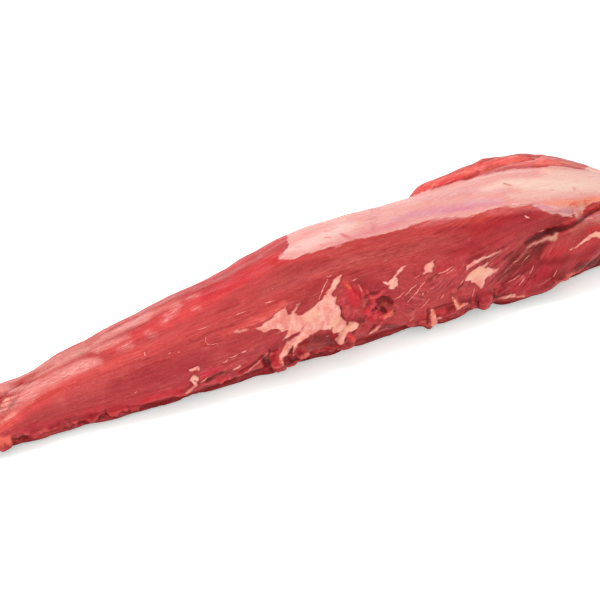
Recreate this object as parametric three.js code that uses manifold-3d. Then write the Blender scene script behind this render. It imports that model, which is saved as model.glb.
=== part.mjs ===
// A whole raw beef tenderloin, lying on its side as it comes off the carcass: one piece of meat.
// The long round muscle tapers from the thick head to the thin tail. A flat wing muscle lies
// along each side of the head, a lumpy side strip runs along the front under the tail, and torn
// flaps of meat and fat hang along the front lower edge.
//
// Millimetres. +X runs from the tail to the head, -Y is the front, +Z is up. The origin lies on
// the board, below the middle of the piece.
import * as THREE from "three";
import { LoftGeometry } from "three/addons/geometries/LoftGeometry.js";
import { mergeVertices } from "three/addons/utils/BufferGeometryUtils.js";
import Module from "manifold-3d";

// Driving sizes
const LENGTH = 580;
const HEAD_WIDTH = 98; // the long muscle at its widest, without its wings
const CENTRE_HEIGHT = 71; // the long muscle at its thickest, as it lies on the board
const TAIL_END = -LENGTH / 2;
const TAIL_TONGUES = 11; // length by which the tail's torn tongues reach past the long muscle
const HEAD_END = LENGTH / 2;
const SINK = 0.07; // share of its half height that the soft meat loses where it lies flat

const wasm = await Module();
wasm.setup();

// A smooth curve of several values along the loin, through stations that each start with x.
function along(stations) {
  const places = stations.map((station) => station[0]);
  const values = stations.flatMap((station) => station.slice(1));
  const curve = new THREE.CubicInterpolant(places, values, stations[0].length - 1);
  return (x) => [...curve.evaluate(x)];
}

// 1 inside a piece, falling to 0 at its ends as a ball of that radius does.
function roundedEnds(x, start, end, startRadius, endRadius) {
  const atStart = Math.max(0, 1 - (x - start) / startRadius);
  const atEnd = Math.max(0, 1 - (end - x) / endRadius);
  return Math.sqrt(Math.max(0, 1 - Math.max(atStart, atEnd) ** 2));
}

// A signed power, which squares off a round section.
const squared = (value, power) => Math.sign(value) * Math.abs(value) ** power;

// A loft along X. Each station is [x, y, z, half width, half height, lean in degrees], and
// relief(x, angle) is what stands proud of the section, with angle 0 at the back and 90 on top.
function muscle({ stations, rings, around, startRadius, endRadius, squareness = 2.3, relief }) {
  const shape = along(stations);
  const start = stations[0][0];
  const end = stations.at(-1)[0];
  const tipShare = 0.01; // the first and last rings stand this share of the end radius inside
  const first = start + tipShare * startRadius;
  const last = end - tipShare * endRadius;
  const crowding = 0.35; // how much closer the rings stand towards both ends
  const sections = [];
  for (let ring = 0; ring <= rings; ring++) {
    const share = ring / rings;
    const eased = share - (crowding * Math.sin(2 * Math.PI * share)) / (2 * Math.PI);
    const x = THREE.MathUtils.lerp(first, last, eased);
    const [y, z, halfWidth, halfHeight, lean] = shape(x);
    const round = roundedEnds(x, start, end, startRadius, endRadius);
    const tilt = THREE.MathUtils.degToRad(lean);
    const section = [];
    for (let step = 0; step < around; step++) {
      const angle = (2 * Math.PI * step) / around;
      const proud = relief ? relief(x, THREE.MathUtils.radToDeg(angle)) * round : 0;
      const across = squared(Math.cos(angle), 2 / squareness) * halfWidth * round;
      const up = squared(Math.sin(angle), 2 / squareness) * halfHeight * round;
      const grow = 1 + proud / Math.max(Math.hypot(across, up), 1);
      section.push(
        new THREE.Vector3(
          x,
          y + grow * (across * Math.cos(tilt) - up * Math.sin(tilt)),
          z + grow * (across * Math.sin(tilt) + up * Math.cos(tilt)),
        ),
      );
    }
    sections.push(section);
  }
  return new LoftGeometry(sections, { capStart: true, capEnd: true });
}

// A strap or tag of meat along a curved path. side is the direction of its width, and the
// widths and thicknesses are full sizes at places evenly spaced along the path.
function strap({ path, side, widths, thicknesses, rings = 10, around = 10 }) {
  const curve = new THREE.CatmullRomCurve3(path.map((p) => new THREE.Vector3(...p)));
  const wide = new THREE.Vector3(...side).normalize();
  const spread = (values) =>
    along(values.map((value, index) => [index / (values.length - 1), value]));
  const widthAt = spread(widths);
  const thicknessAt = spread(thicknesses);
  const tip = 0.02; // share of the length left out at each end, so that the end is a small facet
  const sections = [];
  for (let ring = 0; ring <= rings; ring++) {
    const eased = 0.5 - 0.5 * Math.cos((Math.PI * ring) / rings);
    const share = THREE.MathUtils.lerp(tip, 1 - tip, eased);
    const centre = curve.getPointAt(share);
    const forward = curve.getTangentAt(share);
    const thick = new THREE.Vector3().crossVectors(forward, wide).normalize();
    const across = new THREE.Vector3().crossVectors(thick, forward);
    const round = Math.sqrt(1 - (2 * share - 1) ** 4);
    const section = [];
    for (let step = 0; step < around; step++) {
      const angle = (2 * Math.PI * step) / around;
      section.push(
        centre
          .clone()
          .addScaledVector(across, (Math.cos(angle) * round * widthAt(share)[0]) / 2)
          .addScaledVector(thick, (Math.sin(angle) * round * thicknessAt(share)[0]) / 2),
      );
    }
    sections.push(section);
  }
  return new LoftGeometry(sections, { capStart: true, capEnd: true });
}

// A three.js geometry as a solid that can be joined and cut.
function solidOf(geometry) {
  const bare = new THREE.BufferGeometry();
  bare.setAttribute("position", geometry.attributes.position);
  bare.setIndex(geometry.index);
  const merged = mergeVertices(bare, 1e-3);
  const solid = new wasm.Manifold(
    new wasm.Mesh({
      numProp: 3,
      vertProperties: merged.attributes.position.array,
      triVerts: new Uint32Array(merged.index.array),
    }),
  );
  return solid;
}

// A soft dip or rise of one across a distance: 1 at 0, 0 beyond 1.
const bell = (distance) => (Math.abs(distance) < 1 ? (1 + Math.cos(Math.PI * distance)) / 2 : 0);

// The grooves between the muscle's bundles, each from [x, angle] to [x, angle] in degrees.
const GROOVES = [
  { from: [-205, 158], to: [-60, 138], depth: 1.6, width: 9 },
  { from: [-95, 172], to: [20, 148], depth: 1.8, width: 9 },
  { from: [10, 158], to: [175, 132], depth: 2.2, width: 10 },
  { from: [-250, 95], to: [-120, 70], depth: 1.5, width: 12 },
  { from: [40, 60], to: [190, 52], depth: 1.5, width: 14 },
  { from: [-230, 25], to: [-70, 40], depth: 2, width: 12 },
  { from: [-120, 5], to: [70, 22], depth: 2.4, width: 11 },
];

// The lengthwise bundles and slow swellings of the long muscle's surface.
function bundles(x, angle) {
  const swelling = 1.1 * Math.sin(x / 31 + angle / 40) + 0.8 * Math.sin(x / 17 - angle / 23);
  let groove = 0;
  for (const { from, to, depth, width } of GROOVES) {
    const share = (x - from[0]) / (to[0] - from[0]);
    const middle = THREE.MathUtils.lerp(from[1], to[1], share);
    groove += depth * bell((angle - middle) / width) * bell(2 * share - 1) ** 0.5;
  }
  return swelling - groove;
}

// The long round muscle, from the thin tail to the blunt head.
function longMuscle() {
  const wide = HEAD_WIDTH / 2;
  const high = CENTRE_HEIGHT / (2 - SINK);
  const stations = [
    // x, y, z as a share of the half height, half width, half height, lean
    [TAIL_END + TAIL_TONGUES, -17, 0.95, 0.32 * wide, 0.22 * high, 0],
    [-258, -16, 0.95, 0.42 * wide, 0.33 * high, 0],
    [-215, -13, 1, 0.53 * wide, 0.47 * high, -4],
    [-160, -12, 1, 0.68 * wide, 0.65 * high, -6],
    [-100, -10, 1, 0.78 * wide, 0.81 * high, -6],
    [-40, -6, 1, 0.9 * wide, 0.96 * high, -4],
    [25, -5, 1, 0.97 * wide, high, -2],
    [90, -1, 1, wide, 0.99 * high, 0],
    [150, 4, 1, 0.93 * wide, 1.01 * high, 0],
    [205, 6, 1, 0.8 * wide, 0.93 * high, 0],
    [230, 4, 1, 0.8 * wide, 0.85 * high, 0],
    [252, 2, 1, 0.77 * wide, 0.7 * high, 0],
    [HEAD_END, -1, 1, 0.72 * wide, 0.56 * high, 0],
  ].map(([x, y, rise, halfWidth, halfHeight, lean]) => [
    x,
    y,
    rise * halfHeight * (1 - SINK),
    halfWidth,
    halfHeight,
    lean,
  ]);
  return muscle({
    stations,
    rings: 92,
    around: 40,
    startRadius: 18,
    endRadius: 42,
    squareness: 2.4,
    relief: bundles,
  });
}

// The flat wing muscle that stands against the back of the head and shows above it.
function backWing() {
  return muscle({
    stations: [
      [80, 42, 34, 9, 22, 0],
      [110, 47, 32, 14, 31, 4],
      [150, 50, 33, 17, 33, 6],
      [190, 46, 32, 18, 32, 8],
      [222, 39, 27, 18, 25, 8],
      [248, 34, 21, 17, 20, 6],
      [276, 25, 17, 15, 16, 4],
    ],
    rings: 28,
    around: 18,
    startRadius: 26,
    endRadius: 28,
    relief: (x, angle) => 0.9 * Math.sin(x / 8 + angle / 30),
  });
}

// The strap of the front wing: it leaves the head high up, and runs down and forwards to a
// thin torn end on the board.
function frontWing() {
  return muscle({
    stations: [
      [102, -39, 7, 6, 7, 0],
      [116, -41, 13, 8, 13, -8],
      [130, -41, 20, 10, 20, -12],
      [150, -40, 26, 12, 21, -18],
      [170, -39, 32, 13, 20, -18],
      [190, -37, 37, 14, 18, -16],
      [210, -33, 40, 15, 17, -12],
      [235, -27, 37, 15, 17, -6],
      [279, -19, 25, 14, 14, 0],
    ],
    rings: 30,
    around: 18,
    startRadius: 12,
    endRadius: 26,
    relief: (x, angle) => 0.7 * Math.sin(x / 6 + angle / 25),
  });
}

// The roll of meat that carries the head's front edge, under the front wing.
function underRoll() {
  return muscle({
    stations: [
      [96, -24, 10, 8, 10, 0],
      [130, -27, 11, 12, 12, 0],
      [175, -25, 12, 14, 13, 0],
      [215, -20, 13, 15, 14, 0],
      [270, -8, 14, 14, 14, 0],
    ],
    rings: 16,
    around: 14,
    startRadius: 14,
    endRadius: 30,
  });
}

// The lumpy strip that runs along the front under the tail and the middle.
function sideStrip() {
  const lumps = (x) =>
    0.8 * Math.sin(x / 6.1) + 0.7 * Math.sin(x / 3.7 + 1) + 0.8 * Math.sin(x / 13.7 + 2);
  return muscle({
    stations: [
      [-268, -31, 4, 5, 5, 0],
      [-230, -31, 6, 6, 6.5, 0],
      [-170, -32, 7, 6.5, 7, 0],
      [-110, -33, 7, 7, 7.5, 0],
      [-60, -33, 7, 7, 8, 0],
      [0, -34, 7, 6, 7, 0],
      [45, -35, 6, 6, 6, 0],
    ],
    rings: 66,
    around: 10,
    startRadius: 8,
    endRadius: 10,
    squareness: 2,
    relief: (x) => lumps(x),
  });
}

// The torn flaps, tags and folds of meat and fat along the front lower edge.
const FLAPS = [
  // The thick tongue of meat that hangs to the board below the large fat patch
  {
    path: [
      [-40, -43, 38],
      [-54, -50, 26],
      [-66, -48, 10],
    ],
    side: [1, 0, -0.9],
    widths: [12, 16, 17],
    thicknesses: [10, 14, 15],
  },
  // The fold of fat to its right
  {
    path: [
      [-8, -47, 27],
      [-17, -50, 21],
      [-24, -46, 12],
    ],
    side: [0.6, 0, -0.8],
    widths: [7, 9, 9],
    thicknesses: [8, 10, 9],
  },
  // The upright tag of fat at the start of the torn edge under the head
  {
    path: [
      [47, -42, 22],
      [48, -45, 12],
      [49, -43, 2],
    ],
    side: [1, 0, 0],
    widths: [6, 8, 8],
    thicknesses: [8, 9, 7],
  },
  // The roll of meat beside that tag
  {
    path: [
      [50, -38, 6],
      [66, -39, 8],
      [80, -38, 10],
      [92, -36, 13],
    ],
    side: [0, 0.3, 1],
    widths: [12, 15, 16, 14],
    thicknesses: [9, 12, 12, 10],
  },
  // The round lobe next to the front wing's torn end
  {
    path: [
      [97, -35, 24],
      [99, -40, 14],
      [98, -40, 4],
    ],
    side: [1, 0, 0],
    widths: [12, 17, 15],
    thicknesses: [12, 15, 13],
  },
  // The two uneven tongues of the ragged tail end, with a cleft between them
  {
    path: [
      [-240, -23, 12],
      [-268, -26, 9],
      [TAIL_END - 1, -27, 6],
    ],
    side: [0, 1, 0],
    widths: [26, 25, 17],
    thicknesses: [20, 15, 11],
  },
  {
    path: [
      [-242, -7, 12],
      [-264, -5, 9],
      [-281, -2, 6],
    ],
    side: [0, 1, 0],
    widths: [22, 19, 15],
    thicknesses: [18, 14, 10],
  },
];

// The torn pit above the flaps, where a piece of meat has been pulled off.
function tornPit() {
  return strap({
    path: [
      [3, -62, 38],
      [5, -51, 37],
      [8, -42, 34],
    ],
    side: [1, 0, 0.4],
    widths: [14, 12, 7],
    thicknesses: [12, 10, 5],
    rings: 6,
    around: 9,
  });
}

// Everything below the board's surface, which flattens the base.
function belowTheBoard() {
  const deep = 60;
  return new THREE.BoxGeometry(LENGTH * 2, LENGTH, deep).translate(0, 0, -deep / 2);
}

const pieces = [
  longMuscle(),
  backWing(),
  frontWing(),
  underRoll(),
  sideStrip(),
  ...FLAPS.map(strap),
];
const meat = pieces
  .map(solidOf)
  .reduce((joined, piece) => joined.add(piece))
  .subtract(solidOf(tornPit()))
  .subtract(solidOf(belowTheBoard()))
  .getMesh();

const geometry = new THREE.BufferGeometry();
geometry.setAttribute("position", new THREE.BufferAttribute(meat.vertProperties, 3));
geometry.setIndex(new THREE.BufferAttribute(meat.triVerts, 1));

// Until here y = 0 was the long muscle's line: now the origin goes below the middle of the whole.
geometry.computeBoundingBox();
const middle = geometry.boundingBox.getCenter(new THREE.Vector3());
geometry.translate(-middle.x, -middle.y, 0);
geometry.computeVertexNormals();

const rawBeef = new THREE.MeshStandardMaterial({
  color: 0xb8433f,
  roughness: 0.45,
  metalness: 0,
});

const tenderloin = new THREE.Mesh(geometry, rawBeef);
tenderloin.name = "tenderloin";

const group = new THREE.Group();
group.add(tenderloin);

export default group;
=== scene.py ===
import math
import random

import bmesh
import bpy
import numpy as np
from mathutils import Matrix, Vector, noise
from mathutils.bvhtree import BVHTree


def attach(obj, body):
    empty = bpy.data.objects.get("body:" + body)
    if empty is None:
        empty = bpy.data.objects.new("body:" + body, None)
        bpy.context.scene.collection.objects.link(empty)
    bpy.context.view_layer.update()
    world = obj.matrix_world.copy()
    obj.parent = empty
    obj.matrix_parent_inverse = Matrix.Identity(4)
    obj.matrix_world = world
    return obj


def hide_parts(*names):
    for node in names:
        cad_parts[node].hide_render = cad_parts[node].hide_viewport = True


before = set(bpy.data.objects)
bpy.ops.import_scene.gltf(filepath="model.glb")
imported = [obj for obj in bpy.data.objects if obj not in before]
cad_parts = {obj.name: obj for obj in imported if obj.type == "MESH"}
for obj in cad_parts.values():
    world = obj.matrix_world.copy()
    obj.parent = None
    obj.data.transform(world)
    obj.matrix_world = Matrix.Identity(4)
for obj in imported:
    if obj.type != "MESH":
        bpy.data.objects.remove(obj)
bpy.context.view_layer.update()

# The eye: the tenderloin is looked at along its length, from the front of its thin tail and a little above,
# through a long lens that keeps its thick head from looking much smaller than it is.
LOOKED_AT = Vector((-0.0337, -0.0194, 0.034))
FROM_SIDE, FROM_ABOVE = math.radians(30), math.radians(30)
EYE_DISTANCE = 1.1
LENS_MM, FILM_MM = 100, 36
PICTURE_SIDE = 600

back_to_eye = Vector((
    -math.sin(FROM_SIDE) * math.cos(FROM_ABOVE),
    -math.cos(FROM_SIDE) * math.cos(FROM_ABOVE),
    math.sin(FROM_ABOVE),
))
eye = bpy.data.objects.new("eye", bpy.data.cameras.new("eye"))
bpy.context.collection.objects.link(eye)
eye.data.lens = LENS_MM
eye.data.sensor_width = FILM_MM
eye.location = LOOKED_AT + EYE_DISTANCE * back_to_eye
eye.rotation_euler = (-back_to_eye).to_track_quat("-Z", "Y").to_euler()
bpy.context.scene.camera = eye
bpy.context.scene.view_settings.view_transform = "Standard"
bpy.context.view_layer.update()

# The muscle: one long soft body, thin at the tail and thick at the head, that lies on its side on a flat
# board. Its skin is re-meshed evenly and softened, so that it has the fullness of flesh before any relief
# is worked in.
MM = 0.001
SKIN_STEP = 0.95 * MM
SOFTENING = 30
BOARD_CONTACT = 0.35 * MM

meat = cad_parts["tenderloin"].copy()
meat.data = meat.data.copy()
meat.name = "tenderloin_flesh"
meat.parent = None
for key in list(meat.keys()):
    del meat[key]
bpy.context.collection.objects.link(meat)
meat.data.materials.clear()
shell = bmesh.new()
shell.from_mesh(meat.data)
bmesh.ops.remove_doubles(shell, verts=shell.verts, dist=0.001 * MM)
shell.to_mesh(meat.data)
shell.free()


def settle(thing, kind, **settings):
    """Adds one modifier to a piece and applies it at once."""
    step = thing.modifiers.new(kind.lower(), kind)
    for name, value in settings.items():
        setattr(step, name, value)
    with bpy.context.temp_override(object=thing, active_object=thing):
        bpy.ops.object.modifier_apply(modifier=step.name)


settle(meat, "REMESH", mode="VOXEL", voxel_size=SKIN_STEP)
settle(meat, "SMOOTH", factor=0.5, iterations=SOFTENING)

# The lower edge: the flesh bulges over the board and tucks in under itself before it meets it, in places
# more deeply, so that a dark gap runs along the board. The floor of the torn hollow is slack, and lies
# level with its rim.
TUCK, TUCK_HEIGHTS, TUCK_BACK = 1.8, (0.5, 3.0), 16
EDGE_PULL_SEEN = [
    # how far across the picture, and how far the foot of the flesh is pulled in there, in mm
    (0, 4), (10, 4), (18, 0), (60, 0.5), (88, 0), (110, 2), (130, -2), (160, -1.5), (190, -3), (205, 1),
    (216, 2.5), (240, 3), (252, 6), (258, 8), (266, 8), (274, 1), (282, 0), (292, 7), (298, 8.5), (306, 2),
    (318, 1), (335, -1), (350, -4), (362, 3), (368, 8), (376, 9), (388, 2), (400, -1), (416, -5), (430, -1),
    (455, 1.5), (470, -2), (480, -4), (490, 2), (496, 6), (508, 3), (520, 4.5), (538, 7), (550, 3.5),
    (562, -4), (572, -1), (590, 0),
]
TOP_DROP_SEEN = [
    # how far across the picture, and how far the ridge settles there, in mm
    (0, -1), (16, 1.5), (32, 2.2), (56, 0.7), (72, 1.8), (84, 3.1), (136, 3.1), (152, 1.5), (168, 0),
    (184, 0), (200, 0.8), (216, 1.8), (226, 3), (240, 2.4), (256, 3.7), (272, 2.5), (288, 1.5), (304, 0),
    (344, 0), (360, 1.5), (378, 2.5), (392, 2.4), (408, 1.6), (424, 1.8), (440, 2), (450, 3.2), (472, 3.2),
    (482, 0), (500, 0), (516, 0.6), (534, 0), (544, -3), (552, -2.5), (564, -0.5), (576, 1.5), (592, 3),
    (620, 3),
]
PULL_FADES = 1, 10
RIDGE_FROM = 0.35, 0.9
RIM_FADES, RIM_SHARE = (5, 26), 0.9
SLAB, COLUMN = 6, 4
SUNK_SEEN, SUNK_RADIUS, SUNK_FULL, SUNK_DEPTH = (293, 361), 11, 0.3, 8
HOLLOW_SEEN, HOLLOW_RADIUS, HOLLOW_SLACK = (382, 303), 11, 150


def corners(thing):
    """The points of a mesh, in mm."""
    flat = np.empty(len(thing.data.vertices) * 3)
    thing.data.vertices.foreach_get("co", flat)
    return flat.reshape(-1, 3) / MM


def reshape(thing, points):
    """Puts the points of a mesh, given in mm, where they are asked to be."""
    thing.data.vertices.foreach_set("co", (points * MM).ravel())
    thing.data.update()


def smooth_step(value, low, high):
    """0 below low, 1 above high, and an easy slope between them."""
    t = np.clip((value - low) / (high - low), 0, 1)
    return t * t * (3 - 2 * t)


def seen(across, down, tree):
    """The point of the skin, in mm, that shows at a place of the picture, and which way it faces."""
    step = FILM_MM / LENS_MM / PICTURE_SIDE
    half = PICTURE_SIDE / 2
    ray = eye.matrix_world.to_3x3() @ Vector(((across - half) * step, (half - down) * step, -1))
    ray.normalize()
    hit, face, *_ = tree.ray_cast(eye.location, ray)
    if hit is None:
        hit, face, *_ = tree.find_nearest(eye.location + ray * EYE_DISTANCE)
    return np.array(hit) / MM, np.array(face)


def in_picture(points):
    """Where points, in mm, show in the picture."""
    in_eye = (points - np.array(eye.location) / MM) @ np.array(eye.matrix_world.to_3x3())
    across = PICTURE_SIDE / 2 + in_eye[:, 0] / -in_eye[:, 2] * (LENS_MM / FILM_MM * PICTURE_SIDE)
    down = PICTURE_SIDE / 2 + in_eye[:, 1] / in_eye[:, 2] * (LENS_MM / FILM_MM * PICTURE_SIDE)
    return np.stack([across, down], 1)


def surface_of(thing):
    """The skin of a piece as a tree that rays can be cast at."""
    return BVHTree.FromPolygons(
        [tuple(v.co) for v in thing.data.vertices], [tuple(f.vertices) for f in thing.data.polygons]
    )


def outermost(along, values, step, pick):
    """The least or the greatest of the values that lie within a step along of each point."""
    stops = np.arange(along.min(), along.max(), step)
    return np.interp(along, stops, [pick(values[np.abs(along - x) < step]) for x in stops])


skin = corners(meat)
shown = in_picture(skin)
from_front = skin[:, 1] - outermost(skin[:, 0], skin[:, 1], SLAB, np.min)
pull = np.interp(shown[:, 0], *np.array(EDGE_PULL_SEEN, float).T)
pull *= 1 - smooth_step(skin[:, 2], *PULL_FADES)
pull += TUCK * (1 - smooth_step(skin[:, 2], *TUCK_HEIGHTS))
ridge = smooth_step(skin[:, 2] / outermost(skin[:, 0], skin[:, 2], SLAB, np.max), *RIDGE_FROM)
below_rim = shown[:, 1] - outermost(shown[:, 0], shown[:, 1], COLUMN, np.min)
ridge *= 1 - RIM_SHARE * smooth_step(below_rim, *RIM_FADES)
drop = np.interp(shown[:, 0], *np.array(TOP_DROP_SEEN, float).T) * ridge
sunk, sunk_faces = seen(*SUNK_SEEN, surface_of(meat))
from_sunk = np.linalg.norm(skin - sunk, axis=1)
sinks = SUNK_DEPTH * (1 - smooth_step(from_sunk, SUNK_FULL * SUNK_RADIUS, SUNK_RADIUS))
skin[:, 1] += pull * (1 - smooth_step(from_front, 0, TUCK_BACK))
skin[:, 2] -= drop
skin -= sinks[:, None] * sunk_faces
reshape(meat, skin)

hollow, _ = seen(*HOLLOW_SEEN, surface_of(meat))
slack = meat.vertex_groups.new(name="slack")
from_hollow = np.linalg.norm(skin - hollow, axis=1)
slack.add([int(i) for i in np.flatnonzero(from_hollow < HOLLOW_RADIUS)], 1.0, "REPLACE")
settle(meat, "SMOOTH", factor=1.0, iterations=HOLLOW_SLACK, vertex_group="slack")
meat.vertex_groups.clear()

# Tags and lobes: small soft lumps that stand out of the torn lower edge, where flaps, fat and bits of the
# side strip were pulled or cut off. They grow out of the muscle, so they are melted into its skin before it
# is measured.
LOBES_SEEN = [
    # how far each stands out, as a share of its radius; then places in the picture and the radius in mm
    (1.1, [(0, 447, 3.2), (4, 446.5, 3.0), (8, 445, 2.8), (11, 441, 2.2)]),
    (0.9, [(27, 436, 2.6), (34, 434, 3.2), (40, 431.5, 2.4)]),
    (1.0, [(42, 430, 1.6), (46, 429.5, 1.8)]),
    (0.8, [(50, 428, 2.2), (60, 426, 2.6), (69, 424, 2.0)]),
    (0.9, [(73, 422, 1.8), (77, 421, 1.4)]),
    (0.8, [(83, 420, 2.2), (90, 419, 2.4), (98, 416.5, 2.0)]),
    (0.9, [(107, 413, 1.8), (112, 412.5, 3.2), (120, 409, 2.4)]),
    (0.9, [(131, 410, 1.9), (134, 409, 1.4), (137, 407.5, 1.9)]),
    (0.6, [(141, 403, 2.2), (158, 397, 2.8), (174, 394, 2.6)]),
    (1.0, [(178, 394, 2.4), (185, 392, 2.4), (191, 389, 2.2)]),
    (0.8, [(203, 383, 1.8), (215, 380, 2.5), (229, 377, 2.0)]),
    (0.8, [(236, 374, 1.6), (248, 369, 2.2), (258, 361, 1.8), (267, 353, 1.0)]),
    (1.2, [(282, 345, 3.0), (279, 352, 4.2), (276, 359, 4.8), (276, 364, 5.2), (280, 365, 4.4)]),
    (1.0, [(298, 346, 1.4), (295, 353, 1.5)]),
    (1.0, [(302, 356.5, 1.6), (308, 354.5, 1.8)]),
    (0.9, [(315, 352, 1.3), (324, 350, 1.5)]),
    (0.9, [(326, 347, 1.8), (340, 346, 1.7), (351, 343, 1.6)]),
    (1.2, [(338, 347, 2.2), (344, 346, 2.8), (351, 343, 2.8)]),
    (1.1, [(358, 323, 1.8), (349, 330, 2.9), (341, 340, 3.3)]),
    (0.9, [(350, 334, 1.8), (353, 339, 2.5)]),
    (0.9, [(368, 333.5, 1.2), (375, 329.5, 1.5), (380, 325, 1.1)]),
    (0.9, [(437, 315, 3.6), (443, 313, 4.6), (452, 309, 4.2), (461, 306, 3.2), (471, 302, 2.8)]),
    (1.2, [(433, 311, 1.1), (433.5, 317, 1.8), (434, 323, 2.1)]),
    (1.0, [(437, 319.5, 1.2), (440, 318, 1.2)]),
    (1.2, [(409, 324, 2.0), (416, 324, 2.4), (421, 323, 2.4), (424.5, 323, 1.8)]),
    (1.1, [(484, 297, 5.4), (483, 302, 5.6)]),
    (0.9, [(470, 306, 2.8), (477, 306, 3.0)]),
    (0.45, [(463, 291, 5.0), (471, 289, 4.4)]),
    (1.0, [(452, 297, 1.3), (456, 303, 2.2), (463, 304, 2.5)]),
    (0.45, [(350, 291, 4.4), (353, 296, 5.6), (357, 301, 4.6)]),
    (0.5, [(346, 307, 3.0), (348, 314, 3.6)]),
    (0.9, [(360, 286, 1.1), (362, 292, 1.4), (363, 298, 1.2)]),
    (0.9, [(366, 290, 1.0), (370, 294, 1.6), (375, 298, 1.6)]),
    (0.9, [(388, 289.5, 1.1), (381, 293.5, 1.5), (374, 298.5, 1.5)]),
    (0.8, [(373, 300, 1.6), (372, 305, 1.9), (369, 309, 1.8)]),
    (0.6, [(365, 302, 2.2), (364, 307, 2.4)]),
    (0.6, [(368, 314, 3.2), (376, 316, 3.0)]),
    (0.9, [(384, 318, 2.2), (388, 314, 2.3), (391, 312, 1.6)]),
    (0.5, [(396, 303, 1.6), (397, 311, 1.8), (394, 318, 1.4)]),
    (0.8, [(366, 318, 1.0), (365, 323, 1.2)]),
    (0.7, [(501, 297.5, 1.3), (508, 296, 2.0), (518, 295, 2.0)]),
    (1.0, [(501, 289, 1.4)]),
    (1.2, [(556, 281, 2.2), (563, 279, 2.4), (569, 276, 1.8)]),
    (0.9, [(6, 400, 2.0), (13, 398.5, 1.8), (19, 396.5, 1.2)]),
    (0.9, [(3, 405, 2.0), (10, 403, 1.8)]),
    (0.8, [(3, 410, 1.4), (8, 408, 1.6)]),
    (0.9, [(191, 370, 1.3), (196, 369, 1.6)]),
    (0.9, [(192, 380, 1.7), (196, 378, 1.8), (195, 384, 1.5), (189, 391, 0.9)]),
]
LOBE_STEP, LOBE_UNEVEN, LOBE_LOWEST = 1.6, 0.18, 0.8
TATTERS_SEEN = [
    # how many little crumbs of flesh hang along each torn stretch of the edge, and the stretch
    (26, [(0, 440), (10, 439), (26, 436), (46, 430), (62, 427), (78, 421)]),
    (14, [(82, 421), (100, 417), (112, 414), (122, 409), (136, 406)]),
    (10, [(198, 386), (214, 381), (232, 377), (250, 369)]),
    (14, [(270, 350), (276, 364), (284, 364), (300, 357), (312, 354)]),
    (12, [(314, 352), (330, 347), (352, 342), (356, 338)]),
    (26, [(412, 324), (424, 322), (434, 323), (444, 317), (456, 312), (470, 307)]),
    (16, [(454, 299), (462, 303), (472, 303), (480, 306)]),
    (14, [(360, 288), (370, 294), (375, 300), (372, 308), (384, 316), (392, 310), (396, 302)]),
]
TATTER_RADII, TATTER_LENGTH = (0.6, 1.5), 1.8
TATTER_STEP, TATTER_SPREAD = 1.0, 2.2
TATTER_STANDS, TATTER_SHOWS = 0.8, 0.3
MELTING = 3


def walk_along(marks, step):
    """The marks with others between them, no further apart than a step."""
    walk = [tuple(marks[0])]
    for a, b in zip(marks, marks[1:]):
        parts = max(1, math.ceil(math.dist(a[:2], b[:2]) / step))
        walk += [tuple(p + (q - p) * k / parts for p, q in zip(a, b)) for k in range(1, parts + 1)]
    return walk


def grow(lump_mesh, place, radius, shape=Matrix()):
    """Adds one small ball of flesh, or a drawn-out one, at a place in mm."""
    at_place = Matrix.Translation(Vector(place) * MM)
    bmesh.ops.create_icosphere(lump_mesh, subdivisions=1, radius=radius * MM, matrix=at_place @ shape)


smooth_skin = surface_of(meat)
lobes = bmesh.new()
draw = random.Random(11)
for stands, marks in LOBES_SEEN:
    for across, down, radius in walk_along(marks, LOBE_STEP):
        place, face = seen(across, down, smooth_skin)
        radius *= 1 + draw.uniform(-LOBE_UNEVEN, LOBE_UNEVEN)
        heart = place + face * radius * (stands - 1)
        heart[2] = max(heart[2], LOBE_LOWEST * radius)
        grow(lobes, heart, radius)
for many, stretch in TATTERS_SEEN:
    trail = walk_along(stretch, TATTER_STEP)
    for _ in range(many):
        across, down = draw.choice(trail)
        across += draw.uniform(-TATTER_SPREAD, TATTER_SPREAD)
        down += draw.uniform(-TATTER_SPREAD, TATTER_SPREAD)
        place, face = seen(across, down, smooth_skin)
        radius = draw.uniform(*TATTER_RADII)
        turn = Matrix.Rotation(draw.uniform(0, math.tau), 4, Vector(face))
        drawn_out = Matrix.Diagonal((TATTER_LENGTH, 1, 1, 1))
        grow(lobes, place + face * (TATTER_SHOWS * radius + TATTER_STANDS), radius, turn @ drawn_out)
lobe_mesh = bpy.data.meshes.new("lobes")
lobes.to_mesh(lobe_mesh)
lobes.free()
melting = bmesh.new()
melting.from_mesh(meat.data)
melting.from_mesh(lobe_mesh)
melting.to_mesh(meat.data)
melting.free()
settle(meat, "REMESH", mode="VOXEL", voxel_size=SKIN_STEP)
settle(meat, "SMOOTH", factor=0.5, iterations=MELTING)

# The board hides the flat underside, the back is seen less closely and the top is smooth, so the mesh is
# coarser there than on the torn front.
MOST_TRIANGLES = 194000
COARSER_TOP, COARSER_BACK, COARSER_UNDERSIDE, COARSER_PULL = 0.2, 0.5, 1.0, 10
TOP_LOOKS_UP, BACK_LOOKS_BACK, UNDERSIDE_HEIGHT = 0.8, 0.25, 0.5


def outward(thing):
    """The direction that the surface faces at each point."""
    flat = np.empty(len(thing.data.vertices) * 3)
    thing.data.vertices.foreach_get("normal", flat)
    return flat.reshape(-1, 3)


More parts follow.
